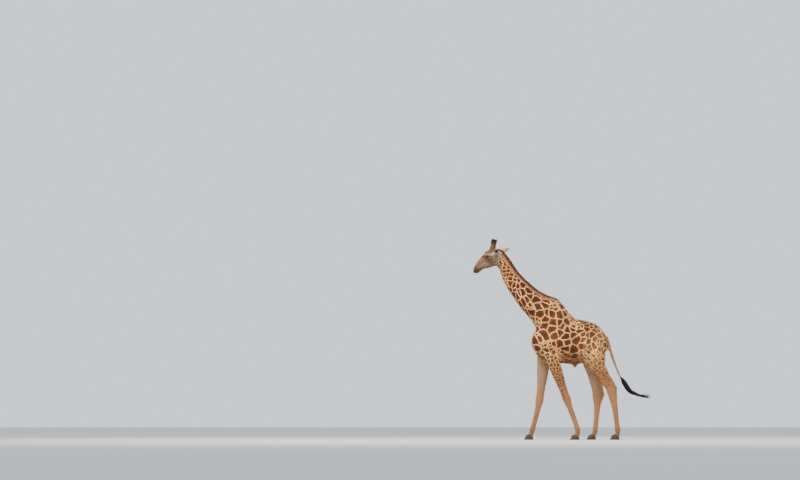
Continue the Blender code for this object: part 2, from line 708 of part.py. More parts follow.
def tail_tuft(look, group):
    mesh = bmesh.new()
    tube(mesh, TUFT, steps=1, sides=10)
    data = bpy.data.meshes.new("tail_tuft")
    mesh.to_mesh(data)
    mesh.free()
    return add_object("tail_tuft", data, look, group)


def centre_on_floor(group):
    """All the pieces moved together so that their box stands centred over the origin."""
    corners = np.array([item.matrix_world @ vert.co for item in group.objects
                        for vert in item.data.vertices])
    low, high = corners.min(axis=0), corners.max(axis=0)
    shift = Matrix.Translation((-(low[0] + high[0]) / 2, -(low[1] + high[1]) / 2, -low[2]))
    for item in group.objects:
        item.data.transform(shift)


def main():
    clear_scene()
    parts = collection(NAME)
    cutters = collection("cutters")
    looks = {name: material(name, colour, 0.15 if name == "eye" else 0.75)
             for name, colour in COLOURS.items()}

    flesh = whole_flesh()
    room = grown_copy(flesh, GAP, cutters)
    subtract(flesh, parting_cuts(cutters))
    pieces = part_flesh(flesh, looks, parts)
    bpy.data.objects.remove(flesh, do_unlink=True)

    eye_places = [on_turned_head((s * 0.101, -1.746, 3.887)) for s in (1, -1)]
    subtract(pieces["head"], socket_cutter(eye_places, cutters))
    eye("eye_left", eye_places[0], looks["eye"], parts)
    eye("eye_right", eye_places[1], looks["eye"], parts)

    turn = Matrix.Rotation(HEAD_YAW, 3, "Z")
    for name, (base, aim, opening) in EARS.items():
        shell = ear(name, on_turned_head(base), turn @ Vector(aim), turn @ Vector(opening),
                    looks["coat"], parts)
        subtract(shell, room)
    subtract(mane(looks["mane"], parts), room)
    subtract(tail_tuft(looks["tuft"], parts), room)
    hooves(looks, parts)
    centre_on_floor(parts)


main()
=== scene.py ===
"""Looks of a life-size walking giraffe: one skin with its blotched coat, mane, tail tuft, eyes and hooves."""

import math

import bmesh
import bpy
import numpy as np
from mathutils import Matrix, Vector
from mathutils.bvhtree import BVHTree


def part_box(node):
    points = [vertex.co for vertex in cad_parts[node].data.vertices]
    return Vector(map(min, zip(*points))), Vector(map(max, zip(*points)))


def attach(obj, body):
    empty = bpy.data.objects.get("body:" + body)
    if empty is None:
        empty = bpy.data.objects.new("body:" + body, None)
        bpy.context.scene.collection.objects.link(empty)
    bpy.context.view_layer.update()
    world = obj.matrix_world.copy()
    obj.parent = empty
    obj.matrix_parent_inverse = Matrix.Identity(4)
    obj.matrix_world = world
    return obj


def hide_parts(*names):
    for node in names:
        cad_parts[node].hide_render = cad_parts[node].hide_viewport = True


bl_info = {
    "name": "Walking giraffe",
    "version": (1, 0, 0),
    "blender": (4, 5, 0),
    "location": "3D View > Sidebar > Giraffe",
    "description": "Skin, coat, mane, tail tuft, eyes and hooves of a life-size giraffe",
    "category": "Object",
}

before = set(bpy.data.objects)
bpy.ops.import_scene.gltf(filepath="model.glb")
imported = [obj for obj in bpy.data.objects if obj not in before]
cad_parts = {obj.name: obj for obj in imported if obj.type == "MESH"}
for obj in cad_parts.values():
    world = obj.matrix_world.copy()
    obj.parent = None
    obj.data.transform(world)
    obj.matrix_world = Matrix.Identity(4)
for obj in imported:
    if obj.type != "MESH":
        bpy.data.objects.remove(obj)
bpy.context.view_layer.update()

# Anatomy is laid out about a body whose midline is x = 0 and whose head looks straight ahead.
HEAD_YAW = math.radians(-20.0)
EYES = [(Vector(low) + Vector(high)) / 2 for low, high in map(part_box, ("eye_left", "eye_right"))]
SHIFT = np.array((-0.0007, 0.1620, 0.0))
POLL = np.array((0.0, -1.450, 3.950))

FLESH = ["head", "neck", "trunk", "tail", "ear_left", "ear_right", "ossicone_left", "ossicone_right"]
FLESH += [f"{leg}_{part}" for leg in ("foreleg_left", "foreleg_right", "hindleg_left", "hindleg_right")
          for part in ("upper", "lower")]

# Legs: the sign of x on the leg's side, and its centre line as y and z of each joint, from the top
LEGS = {
    "fore_left": (1, ((-0.45, 2.30), (-0.370, 1.660), (-0.088, 0.865), (0.138, 0.225), (0.106, 0.080))),
    "fore_right": (-1, ((-0.45, 2.30), (-0.555, 1.660), (-0.646, 0.840), (-0.800, 0.210), (-0.852, 0.080))),
    "hind_left": (1, ((0.480, 2.30), (0.475, 1.760), (0.712, 1.310), (0.868, 1.025), (0.986, 0.220),
                      (0.952, 0.080))),
    "hind_right": (-1, ((0.480, 2.30), (0.460, 1.740), (0.540, 1.290), (0.592, 0.935), (0.538, 0.220),
                        (0.480, 0.080))),
}
LEG_OUT = 0.160
MANE_HEIGHT = 0.060


# ---------------------------------------------------------------- sizes and colours

def length(name, description, default):
    return bpy.props.FloatProperty(name=name, description=description, default=default, unit="LENGTH")


def number(name, description, default):
    return bpy.props.IntProperty(name=name, description=description, default=default, min=100)


class GiraffeSizes(bpy.types.PropertyGroup):
    """Sizes of the skin and its hair."""

    body_voxel: length("Body mesh", "Edge length of the skin's mesh on the body", 0.0202)
    head_voxel: length("Head mesh", "Edge length of the skin's mesh on the head", 0.0054)
    coat_depth: length("Coat depth", "How far the skin lies inside the coat's tips", 0.0030)
    eye_radius: length("Eyeball radius", "Radius of the eyeball", 0.0245)
    hair_length: length("Coat hair length", "Length of the short flat hair on the trunk", 0.026)
    mane_height: length("Mane height", "Height of the upright mane above the neck", MANE_HEIGHT)
    coat_tufts: number("Coat tufts", "Number that sets how dense the short hair is", 150000)
    mane_locks: number("Mane locks", "Number of locks in the mane", 9000)
    tail_locks: number("Tail locks", "Number of locks in the tail tuft", 1000)


def colour(name, description, default):
    return bpy.props.FloatVectorProperty(name=name, description=description, default=default,
                                         subtype="COLOR", size=3, min=0.0, max=1.0)


class GiraffeColours(bpy.types.PropertyGroup):
    """Colours of the coat, hair, horn and eyes."""

    blotch: colour("Blotch", "Brown of the blotches on the trunk and neck", (0.118, 0.036, 0.011))
    blotch_rump: colour("Rump blotch", "Lighter brown blotches on rump and thighs", (0.170, 0.066, 0.021))
    net: colour("Net", "Pale lines between the blotches", (0.930, 0.500, 0.195))
    leg: colour("Leg", "Plain orange-tan of the lower legs", (0.302, 0.143, 0.060))
    inner: colour("Inner leg", "Pale grey-tan on the inner sides of the legs", (0.340, 0.220, 0.130))
    # painted shade for the lower flank between the legs
    shaded_flank: colour("Flank", "Brown ground low on the flank, behind the elbow", (0.330, 0.160, 0.075))
    # painted shade for the belly's underside
    shaded_belly: colour("Belly", "Brown of the belly", (0.150, 0.065, 0.033))
    tail: colour("Tail", "Grey-tan of the tail's stem", (0.200, 0.125, 0.085))
    # also brightened for the painted highlight on the brow
    face: colour("Face", "Tan of the forehead and the sides of the face", (0.232, 0.112, 0.055))
    cheek: colour("Cheek", "Pale grey-tan of the cheek and throat", (0.170, 0.110, 0.066))
    muzzle: colour("Muzzle", "Dark brown-grey of the muzzle and lips", (0.085, 0.042, 0.027))
    # also used, darkened or lightened, for painted shade in the ears and the painted shadow of the lashes
    dark: colour("Dark skin", "Bare dark skin of lids, nostrils and mouth line", (0.016, 0.010, 0.008))
    ear: colour("Ear", "Pale hair on the ears", (0.590, 0.500, 0.390))
    horn: colour("Horn", "Brown of the ossicones' stems", (0.150, 0.082, 0.055))
    horn_tip: colour("Horn tip", "Black-purple hair on the ossicones' tips", (0.030, 0.016, 0.017))
    mane: colour("Mane", "Red-brown of the mane", (0.130, 0.036, 0.014))
    mane_tip: colour("Mane tip", "Dark tips of the mane", (0.030, 0.011, 0.007))
    tuft: colour("Tail tuft", "Black of the tail tuft", (0.010, 0.009, 0.010))
    hoof: colour("Hoof", "Dry horn of the hooves", (0.048, 0.033, 0.025))
    hoof_worn: colour("Worn hoof", "Paler horn at the hoof's worn edge", (0.110, 0.080, 0.060))
    dust: colour("Dust", "Dry earth on the hooves", (0.220, 0.140, 0.090))
    iris: colour("Iris", "Dark brown iris", (0.045, 0.018, 0.008))
    floor: colour("Floor", "Pale studio floor", (0.620, 0.610, 0.600))


# ---------------------------------------------------------------- small tools

def sizes():
    return bpy.context.scene.giraffe_sizes


def tint(name):
    return np.array(getattr(bpy.context.scene.giraffe_colours, name))


def deselect():
    if bpy.context.mode != "OBJECT":
        bpy.ops.object.mode_set(mode="OBJECT")
    bpy.ops.object.select_all(action="DESELECT")


def pick(item):
    deselect()
    item.select_set(True)
    bpy.context.view_layer.objects.active = item


def added(name, data):
    """A new object of the scene that holds the data."""
    item = bpy.data.objects.new(name, data)
    bpy.context.scene.collection.objects.link(item)
    return item


def apply_modifier(item, kind, **settings):
    pick(item)
    modifier = item.modifiers.new(kind.lower(), kind)
    for key, value in settings.items():
        setattr(modifier, key, value)
    bpy.ops.object.modifier_apply(modifier=modifier.name)


def ramp(value, low, high):
    """Smooth step from 0 at low to 1 at high; low may be the larger."""
    t = np.clip((value - low) / (high - low), 0.0, 1.0)
    return t * t * (3 - 2 * t)


def mix(a, b, share):
    """From a to b, by one share or by a share for each row."""
    share = np.asarray(share)[..., None] if np.ndim(share) else share
    return a * (1 - share) + b * share


def unit(vectors):
    """The same directions, each of length one."""
    return vectors / np.maximum(np.linalg.norm(vectors, axis=-1, keepdims=True), 1e-9)


def read(mesh, what="co", domain="vertices", width=3):
    """A property of all the mesh's points, or of another kind of its elements, as rows."""
    values = np.empty(len(getattr(mesh, domain)) * width, dtype=np.float32)
    getattr(mesh, domain).foreach_get(what, values)
    return values.reshape(-1, width).astype(np.float64) if width > 1 else values


def place(mesh, points):
    mesh.vertices.foreach_set("co", points.astype(np.float32).ravel())
    mesh.update()


def edges_of(mesh):
    pairs = np.empty(len(mesh.edges) * 2, dtype=np.int32)
    mesh.edges.foreach_get("vertices", pairs)
    return pairs.reshape(-1, 2)


def keep(mesh, name, values):
    """Numbers, places or colours kept on the mesh's points under a name."""
    width = 1 if values.ndim == 1 else values.shape[1]
    kind, key = {1: ("FLOAT", "value"), 3: ("FLOAT_VECTOR", "vector"), 4: ("FLOAT_COLOR", "color")}[width]
    mesh.attributes.new(name, kind, "POINT").data.foreach_set(key, values.astype(np.float32).ravel())


def near_line(points, line):
    """Distance of each point to a line through the given points, and the share of the line's length there."""
    best = np.full(len(points), 1e9)
    along = np.zeros(len(points))
    line = np.array(line, dtype=float)
    for i in range(len(line) - 1):
        a, b = line[i], line[i + 1]
        span = b - a
        t = np.clip((points - a) @ span / max(span @ span, 1e-12), 0, 1)
        far = np.linalg.norm(points - (a + t[:, None] * span), axis=1)
        closer = far < best
        best[closer] = far[closer]
        along[closer] = (i + t[closer]) / (len(line) - 1)
    return best, along


def yaw(points, angle):
    """Points turned about the upright line through the poll."""
    c, s = math.cos(angle), math.sin(angle)
    turn = np.array(((c, -s, 0), (s, c, 0), (0, 0, 1)))
    return (points - POLL) @ turn.T + POLL


def turned(ways, angle=HEAD_YAW):
    """Directions turned as the head is, or by another angle."""
    return (yaw(np.atleast_2d(ways) + POLL, angle) - POLL).reshape(np.shape(ways))


def plain(points):
    """Points of the frame in the anatomy's own layout, head still turned."""
    return points - SHIFT


def head_share(body):
    """1 on the head, 0 on the neck, by the plane behind the jaw."""
    side = (body - np.array((0.0, -1.462, 3.850))) @ np.array((0.0, 0.97, -0.25))
    return ramp(side, 0.03, -0.03) * ramp(body[:, 2], 3.2, 3.4)


def straight(body):
    """Points with the head turned back to look straight ahead."""
    return yaw(body, -HEAD_YAW)


# ---------------------------------------------------------------- where things are on the body

NECK_FOOT = np.array((0.0, -0.450, 2.650))
NECK_WAY = np.array((0.0, -0.643, 0.766))


def running(steps, cells):
    """How many blotches lie between the first step and each step."""
    total = [0.0]
    for i in range(1, len(steps)):
        total.append(total[-1] + (steps[i] - steps[i - 1]) * (cells[i] + cells[i - 1]) / 2)
    return tuple(total)


# Blotches to the metre: along the trunk, up the neck, and up the legs from the ground
TRUNK_Y, TRUNK_CELLS = (-0.3, 0.1, 0.5, 0.9), (6.0, 6.6, 8.2, 9.5)
TRUNK_STEPS = (-1.0, *TRUNK_Y)
TRUNK_RUN = running(TRUNK_STEPS, (TRUNK_CELLS[0], *TRUNK_CELLS))
NECK_STEPS, NECK_CELLS = (0.0, 0.45, 0.85, 1.2, 1.5), (6.0, 6.6, 8.2, 11.5, 17.0)
NECK_RUN = running(NECK_STEPS, NECK_CELLS)
LEG_STEPS, LEG_CELLS = (0.0, 1.0, 1.5, 1.8, 2.1), (22.0, 19.0, 13.5, 10.5, 7.5)
LEG_DROP = tuple(run - running(LEG_STEPS, LEG_CELLS)[-1] for run in running(LEG_STEPS, LEG_CELLS))


class Places:
    """Regions of the body at given points, each a share from 0 to 1, with the coat's lie and pattern."""

    def __init__(self, points, normals):
        self.body = plain(points)
        self.normals = normals
        self.x, self.y, self.z = self.body.T
        self.head = head_share(self.body)
        self.face = straight(self.body)
        self.face_normals = turned(normals, -HEAD_YAW)
        self.side = np.abs(self.x)
        self.neck_run = (self.body - NECK_FOOT) @ NECK_WAY
        self.neck = ramp(self.neck_run, -0.15, 0.15) * (1 - self.head)
        self.legs()
        self.tail = ramp(self.y, 0.78, 0.85) * ramp(self.side, 0.09, 0.06) * ramp(self.z, 1.2, 1.3)
        self.leg_low = self.leg * (1 - self.tail)
        self.ears()
        self.horn = self.head * ramp(self.face[:, 2], 4.075, 4.12) * (1 - self.ear)
        self.lie = self.hair_lie()

    def legs(self):
        """The nearest leg's share, middle line and height."""
        self.leg = np.zeros(len(self.body))
        self.leg_middle = np.zeros((len(self.body), 3))
        self.leg_hind = np.zeros(len(self.body))
        self.leg_way = np.tile(np.array((0.0, 0.0, -1.0)), (len(self.body), 1))
        best = np.full(len(self.body), 1e9)
        for name, (side, joints) in LEGS.items():
            line = np.array(joints)
            heights, depths = line[::-1, 1], line[::-1, 0]
            middle_y = np.interp(self.z, heights, depths)
            below, above = (np.interp(self.z + step, heights, depths) for step in (-0.03, 0.03))
            slope = (below - above) / 0.06
            away = np.hypot(self.x - side * LEG_OUT, (self.y - middle_y) * 0.8)
            closer = away < best
            best = np.where(closer, away, best)
            middle = np.stack((np.full_like(middle_y, side * LEG_OUT), middle_y, self.z), axis=1)
            self.leg_middle[closer] = middle[closer]
            self.leg_hind[closer] = 1.0 if name.startswith("hind") else 0.0
            way = unit(np.stack((np.zeros_like(slope), slope, -np.ones_like(slope)), axis=1))
            self.leg_way[closer] = way[closer]
        wide = np.interp(self.z, (1.5, 2.1), (0.30, 0.22))
        self.leg = np.maximum(ramp(best, wide + 0.06, wide - 0.04) * ramp(self.z, 2.10, 1.75),
                              ramp(self.z, 1.66, 1.54) * ramp(self.y, 0.90, 0.80))
        self.leg = np.maximum(self.leg, ramp(self.z, 1.25, 1.15))

    def ears(self):
        """The ears' share, how far along the ear, and whether a point lies in its hollow."""
        self.ear = np.zeros(len(self.body))
        self.ear_run = np.zeros(len(self.body))
        self.ear_inner = np.zeros(len(self.body))
        self.ear_way = np.zeros((len(self.body), 3))
        for base, aim, opening in EARS:
            run = (self.face - base) @ aim / EAR_LENGTH
            off = self.face - base - run[:, None] * aim * EAR_LENGTH
            here = (run > 0.16) & (run < 1.2) & (np.linalg.norm(off, axis=1) < 0.075)
            here &= self.head + ramp(self.z, 3.9, 4.0) > 0.5
            self.ear = np.where(here, ramp(run, 0.14, 0.24), self.ear)
            self.ear_run = np.where(here, run, self.ear_run)
            facing = self.face_normals @ opening
            self.ear_inner = np.where(here, ramp(facing, -0.1, 0.35), self.ear_inner)
            self.ear_way[here] = aim

    def pattern_places(self, wrap):
        """Places on the unrolled body, stretched so that every blotch is about one unit wide."""
        across = np.interp(self.y, TRUNK_Y, TRUNK_CELLS)
        run_y = np.interp(self.y, TRUNK_STEPS, TRUNK_RUN)
        trunk = np.stack((self.x * across, run_y, (self.z - 2.3) * across), axis=1)
        t = np.clip(self.neck_run, 0.0, None)
        run = np.interp(t, NECK_STEPS, NECK_RUN)
        size = np.interp(t, NECK_STEPS, NECK_CELLS)
        aside = self.body - NECK_FOOT - t[:, None] * NECK_WAY
        foot_y = np.interp(NECK_FOOT[1], TRUNK_STEPS, TRUNK_RUN)
        foot = np.array((0.0, foot_y, (NECK_FOOT[2] - 2.3) * TRUNK_CELLS[0]))
        neck = foot + run[:, None] * NECK_WAY + aside * size[:, None]
        made = mix(trunk, neck, ramp(self.neck_run, -0.05, 0.25))
        nape = np.array((0.0, -1.440, 3.820)) - NECK_FOOT
        reach = nape @ NECK_WAY
        start = foot + np.interp(reach, NECK_STEPS, NECK_RUN) * NECK_WAY
        start = start + (nape - reach * NECK_WAY) * NECK_CELLS[-1]
        head = start + (self.face - NECK_FOOT - nape) * NECK_CELLS[-1]
        nape_side = (self.body - NECK_FOOT - nape) @ np.array((0.0, 0.97, -0.25))
        made = mix(made, head, ramp(nape_side, 0.06, -0.08) * ramp(self.z, 3.2, 3.4))
        middle = self.leg_middle
        leg_cells = np.interp(self.z, LEG_STEPS, LEG_CELLS)
        drop = np.interp(self.z, LEG_STEPS, LEG_DROP)
        width = np.interp(middle[:, 1], TRUNK_Y, TRUNK_CELLS)
        run_y = np.interp(middle[:, 1], TRUNK_STEPS, TRUNK_RUN)
        leg = np.stack((self.x, run_y + (self.y - middle[:, 1]) * leg_cells, -0.2 * width + drop), axis=1)
        made = mix(made, leg, self.leg)
        # the side view's pattern carried on over the back, the belly, the chest and round the legs
        axis = self.leg * np.abs(middle[:, 0])
        width = np.minimum(np.interp(self.y, (-0.75, -0.40, 0.0, 0.36, 0.54, 0.72),
                                     (0.12, 0.25, 0.325, 0.318, 0.28, 0.18)),
                           np.interp(self.z, (2.42, 2.95), (0.34, 0.11)))
        width = mix2(width, np.interp(self.neck_run, (0.1, 0.5, 1.0, 1.5), (0.19, 0.135, 0.10, 0.08)),
                     ramp(self.neck_run, -0.05, 0.25))
        width = mix2(width, 0.09, self.head)
        width = mix2(width, 0.075, self.leg)
        outward = np.abs(self.x) - axis
        cells = mix2(mix2(across, size, ramp(self.neck_run, -0.05, 0.25)), NECK_CELLS[-1], self.head)
        cells = mix2(cells, leg_cells, self.leg)
        wrapped = (np.maximum(width - outward, 0) * cells)[:, None] * wrap[:, 1:]
        flat = made[:, 1:] + wrapped
        flat[:, 0] += 0.8 * np.tanh(self.x / 0.10)
        return np.stack((flat[:, 0], flat[:, 1], self.x * 5.0), axis=1)

    def hair_lie(self):
        """Which way the hair points along the skin."""
        back = np.stack((np.zeros_like(self.y), np.interp(self.y, (-0.6, 0.2, 0.8), (0.62, 0.80, 0.35)),
                         np.interp(self.y, (-0.6, 0.2, 0.8), (-0.78, -0.60, -0.94))), axis=1)
        lie = mix(back, -NECK_WAY, self.neck)
        lie = mix(lie, turned(np.array((0.0, 0.86, 0.50))), self.head)
        lie = mix(lie, self.leg_way, np.maximum(self.leg, self.tail))
        lie = mix(lie, np.array((0.0, 0.0, 1.0)), self.horn)
        lie = mix(lie, turned(self.ear_way), self.ear)
        lie = lie - self.normals * np.sum(lie * self.normals, axis=1, keepdims=True)
        return unit(lie)


def ear_frame(base, aim, opening):
    """An ear's base, its aim, and the way its cup opens, both of length one."""
    aim, opening = unit(np.array(aim)), np.array(opening)
    return np.array(base), aim, unit(opening - aim * (opening @ aim))


EAR_LENGTH = 0.225
EARS = (ear_frame((0.072, -1.520, 4.008), (0.96, -0.10, -0.25), (0.07, 0.69, 0.60)),
        ear_frame((-0.072, -1.522, 4.002), (-0.42, 0.85, 0.36), (-0.30, -0.80, -0.20)))

# ---------------------------------------------------------------- the skin's relief

# Each stroke: line as (y, z) seen from the side, radius, height (below 0 for a groove)
TRUNK_STROKES = (
    (((-0.28, 2.82), (-0.40, 2.50), (-0.60, 2.16)), 0.050, 0.006),
    (((-0.12, 2.72), (-0.20, 2.45), (-0.24, 2.15), (-0.20, 1.85)), 0.060, -0.010),
    (((-0.34, 2.34), (-0.26, 2.08), (-0.30, 1.84)), 0.060, 0.008),
    (((-0.55, 2.36), (-0.50, 2.20), (-0.46, 2.02)), 0.040, -0.006),
    (((-0.62, 2.02), (-0.52, 1.86), (-0.44, 1.72)), 0.040, -0.007),
    (((0.30, 2.36), (0.40, 2.33)), 0.060, 0.012),
    (((0.20, 2.30), (0.22, 2.12)), 0.085, -0.012),
    (((0.38, 2.26), (0.30, 2.02), (0.24, 1.80), (0.20, 1.70)), 0.042, 0.010),
    (((0.58, 2.30), (0.62, 2.06), (0.62, 1.80)), 0.032, -0.008),
    (((0.48, 2.14), (0.50, 1.96), (0.50, 1.82)), 0.030, -0.004),
    (((0.68, 2.22), (0.71, 2.00), (0.68, 1.76)), 0.035, 0.005),
)
RIB = 0.0030
NECK_STROKES = (
    (((-1.46, 3.66), (-1.26, 3.36), (-1.05, 3.06), (-0.84, 2.76), (-0.70, 2.48)), 0.032, -0.007),
    (((-1.38, 3.68), (-1.16, 3.38), (-0.92, 3.08), (-0.68, 2.78)), 0.050, 0.005),
    (((-1.36, 3.86), (-1.10, 3.48), (-0.82, 3.18), (-0.52, 2.94), (-0.32, 2.84)), 0.036, -0.006),
    (((-1.24, 3.62), (-0.98, 3.28), (-0.72, 3.02), (-0.46, 2.76)), 0.028, -0.004),
)
HEAD_STROKES = (  # on the head looking straight ahead
    (((-1.800, 3.944), (-1.745, 3.952), (-1.690, 3.930)), 0.020, 0.006),
    (((-1.720, 3.845), (-1.810, 3.818), (-1.900, 3.772)), 0.018, 0.004),
    (((-1.840, 3.800), (-1.800, 3.770), (-1.720, 3.768)), 0.026, -0.004),
    (((-1.620, 3.760), (-1.700, 3.722), (-1.800, 3.704), (-1.890, 3.684)), 0.014, 0.0035),
    (((-1.800, 3.880), (-1.840, 3.845), (-1.890, 3.800)), 0.009, -0.0022),
    (((-1.575, 3.720), (-1.560, 3.780), (-1.572, 3.850)), 0.016, -0.0045),
    (((-1.640, 3.905), (-1.590, 3.880)), 0.024, -0.004),
    (((-1.860, 3.872), (-1.940, 3.790), (-2.010, 3.712)), 0.012, -0.0018),
    (((-1.990, 3.570), (-2.030, 3.556)), 0.022, 0.003),
    (((-1.950, 3.640), (-1.985, 3.664)), 0.030, 0.003),
)
MOUTH = ((-2.100, 3.594), (-2.060, 3.596), (-2.010, 3.606), (-1.965, 3.622), (-1.925, 3.646), (-1.905, 3.650))
NOSTRIL = ((-2.066, 3.650), (-2.050, 3.668), (-2.026, 3.684), (-2.012, 3.682))


def smoothed(points, pairs, weight, rounds, factor=0.5):
    """Points drawn towards their neighbours' middle, each as much as its weight says."""
    count = len(points)
    degree = np.bincount(pairs.ravel(), minlength=count).astype(float)
    share = (factor * weight / np.maximum(degree, 1))[:, None]
    full = (factor * weight)[:, None]
    for _ in range(rounds):
        total = np.empty_like(points)
        for axis in range(3):
            total[:, axis] = (np.bincount(pairs[:, 0], points[pairs[:, 1], axis], count)
                              + np.bincount(pairs[:, 1], points[pairs[:, 0], axis], count))
        points = points * (1 - full) + total * share
    return points


def stroke_heights(flat, normals, strokes, reach):
    """Summed heights of side-view strokes, strongest where the skin faces sideways."""
    made = np.zeros(len(flat))
    facing = 0.35 + 0.65 * ramp(np.abs(normals[:, 0]), 0.15, 0.6)
    for line, radius, height in strokes:
        away, _ = near_line(flat, line)
        made += height * ramp(away, radius, 0.0) * facing * reach
    return made


def relief(where):
    """How far the skin rises or sinks at each point for muscle, bone, tendon and fold."""
    flat = where.body[:, 1:]
    rest = (1 - where.head) * (1 - where.ear)
    on_trunk = rest * ramp(where.z, 1.55, 1.70) * (1 - where.tail)
    made = stroke_heights(flat, where.normals, TRUNK_STROKES, on_trunk)
    made += stroke_heights(flat, where.normals, NECK_STROKES, rest * ramp(where.neck_run, -0.25, 0.0))
    ribs = ramp(where.y, -0.16, -0.02) * ramp(where.y, 0.34, 0.20) * ramp(where.z, 1.75, 1.95)
    ribs *= ramp(where.z, 2.48, 2.25) * on_trunk
    made += RIB * ribs * np.cos((where.y + 0.35 * (where.z - 2.1)) * 2 * math.pi / 0.082)
    breast = ramp(where.side, 0.030, 0.0) * ramp(where.y, -0.50, -0.62) * ramp(where.z, 2.45, 2.25)
    made -= 0.010 * breast * rest
    # legs: a groove down each side of the shins, in front of the tendons, and knobs at the joints
    off = where.body - where.leg_middle
    shin = ramp(where.z, 0.80, 0.70) * ramp(where.z, 0.24, 0.34) * where.leg
    groove = ramp(np.abs(off[:, 1] - 0.016), 0.014, 0.0) * ramp(np.abs(where.normals[:, 0]), 0.4, 0.8)
    made -= 0.0050 * groove * shin
    gaskin = where.leg_hind * where.leg * ramp(where.z, 1.03, 1.10) * ramp(where.z, 1.42, 1.30)
    made -= 0.0090 * ramp(np.abs(off[:, 1] - 0.052), 0.020, 0.0) * gaskin
    for height, rise in ((0.262, 0.003), (0.150, -0.003), (0.205, -0.002)):
        made += rise * ramp(np.abs(where.z - height), 0.022, 0.0) * where.leg
    return made


def head_relief(where):
    """The same on the head: bone, mouth line, nostrils and throat folds."""
    flat = where.face[:, 1:]
    reach = where.head * (1 - where.ear) * (1 - where.horn)
    made = stroke_heights(flat, where.face_normals, HEAD_STROKES, reach)
    wrinkle = ramp(where.face[:, 1], -1.66, -1.60) * ramp(where.face[:, 2], 3.80, 3.74) * reach
    made += 0.0014 * wrinkle * np.cos((where.face[:, 1] * 0.9 + where.face[:, 2] * 0.4) * 2 * math.pi / 0.020)
    away = near_line(flat, MOUTH)[0]
    made -= (0.0055 * ramp(away, 0.0075, 0.0) - 0.0030 * ramp(away, 0.022, 0.006)) * reach
    away = near_line(flat, NOSTRIL)[0]
    beside = ramp(np.abs(where.face[:, 0]), 0.012, 0.022)
    made += (0.0040 * ramp(away, 0.024, 0.010) - 0.0170 * ramp(away, 0.0080, 0.001)) * reach * beside
    ridge = ramp(np.abs(where.face[:, 0]), 0.030, 0.0) * ramp(where.face[:, 1], -1.86, -1.92)
    made += 0.0020 * ridge * ramp(where.face[:, 1], -2.05, -2.00) * reach
    return made


class Eye:
    """The eyeball's middle, and the directions outwards, forwards and up of its opening."""

    def __init__(self, middle, side):
        self.out = unit(turned(np.array((side * 0.93, -0.30, 0.16))))
        slope = turned(np.array((0.0, -0.93, -0.32)))
        self.fore = unit(slope - self.out * (slope @ self.out))
        self.up = np.cross(self.out, self.fore) * side * -1
        if self.up[2] < 0:
            self.up = -self.up
        self.middle = np.array(middle) - self.out * EYE_SINK

    def local(self, points):
        away = points - self.middle
        return np.stack((away @ self.fore, away @ self.up, away @ self.out), axis=1)

    def world(self, local):
        return self.middle + local[:, :1] * self.fore + local[:, 1:2] * self.up + local[:, 2:3] * self.out


EYE_SINK = 0.0030
EYE_HALF = 0.0270
LID_UP = 0.0150
LID_LOW = 0.0115


def opening_height(u, top):
    """Height of the lid's edge above or below the eye's long axis."""
    t = np.clip(u / EYE_HALF, -1, 1)
    droop = 0.0030 * t
    if top:
        return LID_UP * np.maximum(1 - t * t, 0) ** 0.62 - droop
    return -LID_LOW * np.maximum(1 - t * t, 0) ** 0.72 - droop


def outside_opening(u, v):
    """How far a point lies outside the eye's opening; less than 0 within it."""
    edge = np.maximum(v - opening_height(u, True), opening_height(u, False) - v)
    return np.where(np.abs(u) < EYE_HALF, edge, np.hypot(np.abs(u) - EYE_HALF, v + 0.003 * np.sign(u)))


def shape_lids(points, eye, radius):
    """Skin about the eye drawn over the ball, with an almond opening whose edge the mesh follows."""
    local = eye.local(points)
    near = np.flatnonzero((np.hypot(local[:, 0], local[:, 1]) < 0.060) & (local[:, 2] > -0.035))
    u, v, w = local[near].T
    high, low = opening_height(u, True), opening_height(u, False)
    edge = outside_opening(u, v)
    snap = (np.abs(u) < EYE_HALF) & (np.abs(edge) < 0.0011)
    v = np.where(snap, np.where(v - high > low - v, high, low), v)
    edge = np.where(snap, 0.0, edge)
    span = np.minimum(u * u + v * v, (radius * 1.25) ** 2)
    ball = np.sqrt(np.maximum(radius ** 2 - np.minimum(span, radius ** 2), 0))
    lid_thick = np.where(v > 0, 0.0042, 0.0032)
    lid = np.sqrt(np.maximum((radius + lid_thick) ** 2 - span, 0)) - 0.0006
    lid += 0.0016 * ramp(np.abs(edge - 0.0040), 0.0030, 0.0)
    lid -= 0.0020 * ramp(np.abs(edge - 0.0120), 0.0040, 0.0) * (v > 0)
    blend = ramp(edge, 0.006, 0.024)
    made = lid * (1 - blend) + np.maximum(w, lid - 0.010) * blend
    made = np.where(edge < -0.0005, ball - 0.0075, made)
    made = np.where(snap, np.maximum(ball + 0.0006, made - 0.0022), made)
    points[near] = eye.world(np.stack((u, v, made), axis=1))


def copy_of(names, name, swell):
    """CAD nodes copied into one object, each merged to a closed shell and swollen a little to overlap."""
    joined = bmesh.new()
    for node in names:
        shell = bmesh.new()
        shell.from_mesh(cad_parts[node].data)
        bmesh.ops.remove_doubles(shell, verts=shell.verts, dist=0.00005)
        shell.normal_update()
        for vert in shell.verts:
            vert.co += vert.normal * swell
        held = bpy.data.meshes.new("held")
        shell.to_mesh(held)
        shell.free()
        joined.from_mesh(held)
        bpy.data.meshes.remove(held)
    data = bpy.data.meshes.new(name)
    joined.to_mesh(data)
    joined.free()
    return added(name, data)


SHANK_TOP = 0.98
TAIL_FROM = 1.02
SEAM_POINT = Vector((0.0, -1.395, 3.730))
SEAM_WAY = Vector((0.0, -0.643, 0.766)).normalized()


def half_of(item, point, way):
    """The item's mesh cut by a plane, keeping what lies behind it, and the cut's open edges."""
    mesh = bmesh.new()
    mesh.from_mesh(item.data)
    geometry = mesh.verts[:] + mesh.edges[:] + mesh.faces[:]
    bmesh.ops.bisect_plane(mesh, geom=geometry, dist=0.0004, plane_co=point, plane_no=way, clear_outer=True)
    return mesh


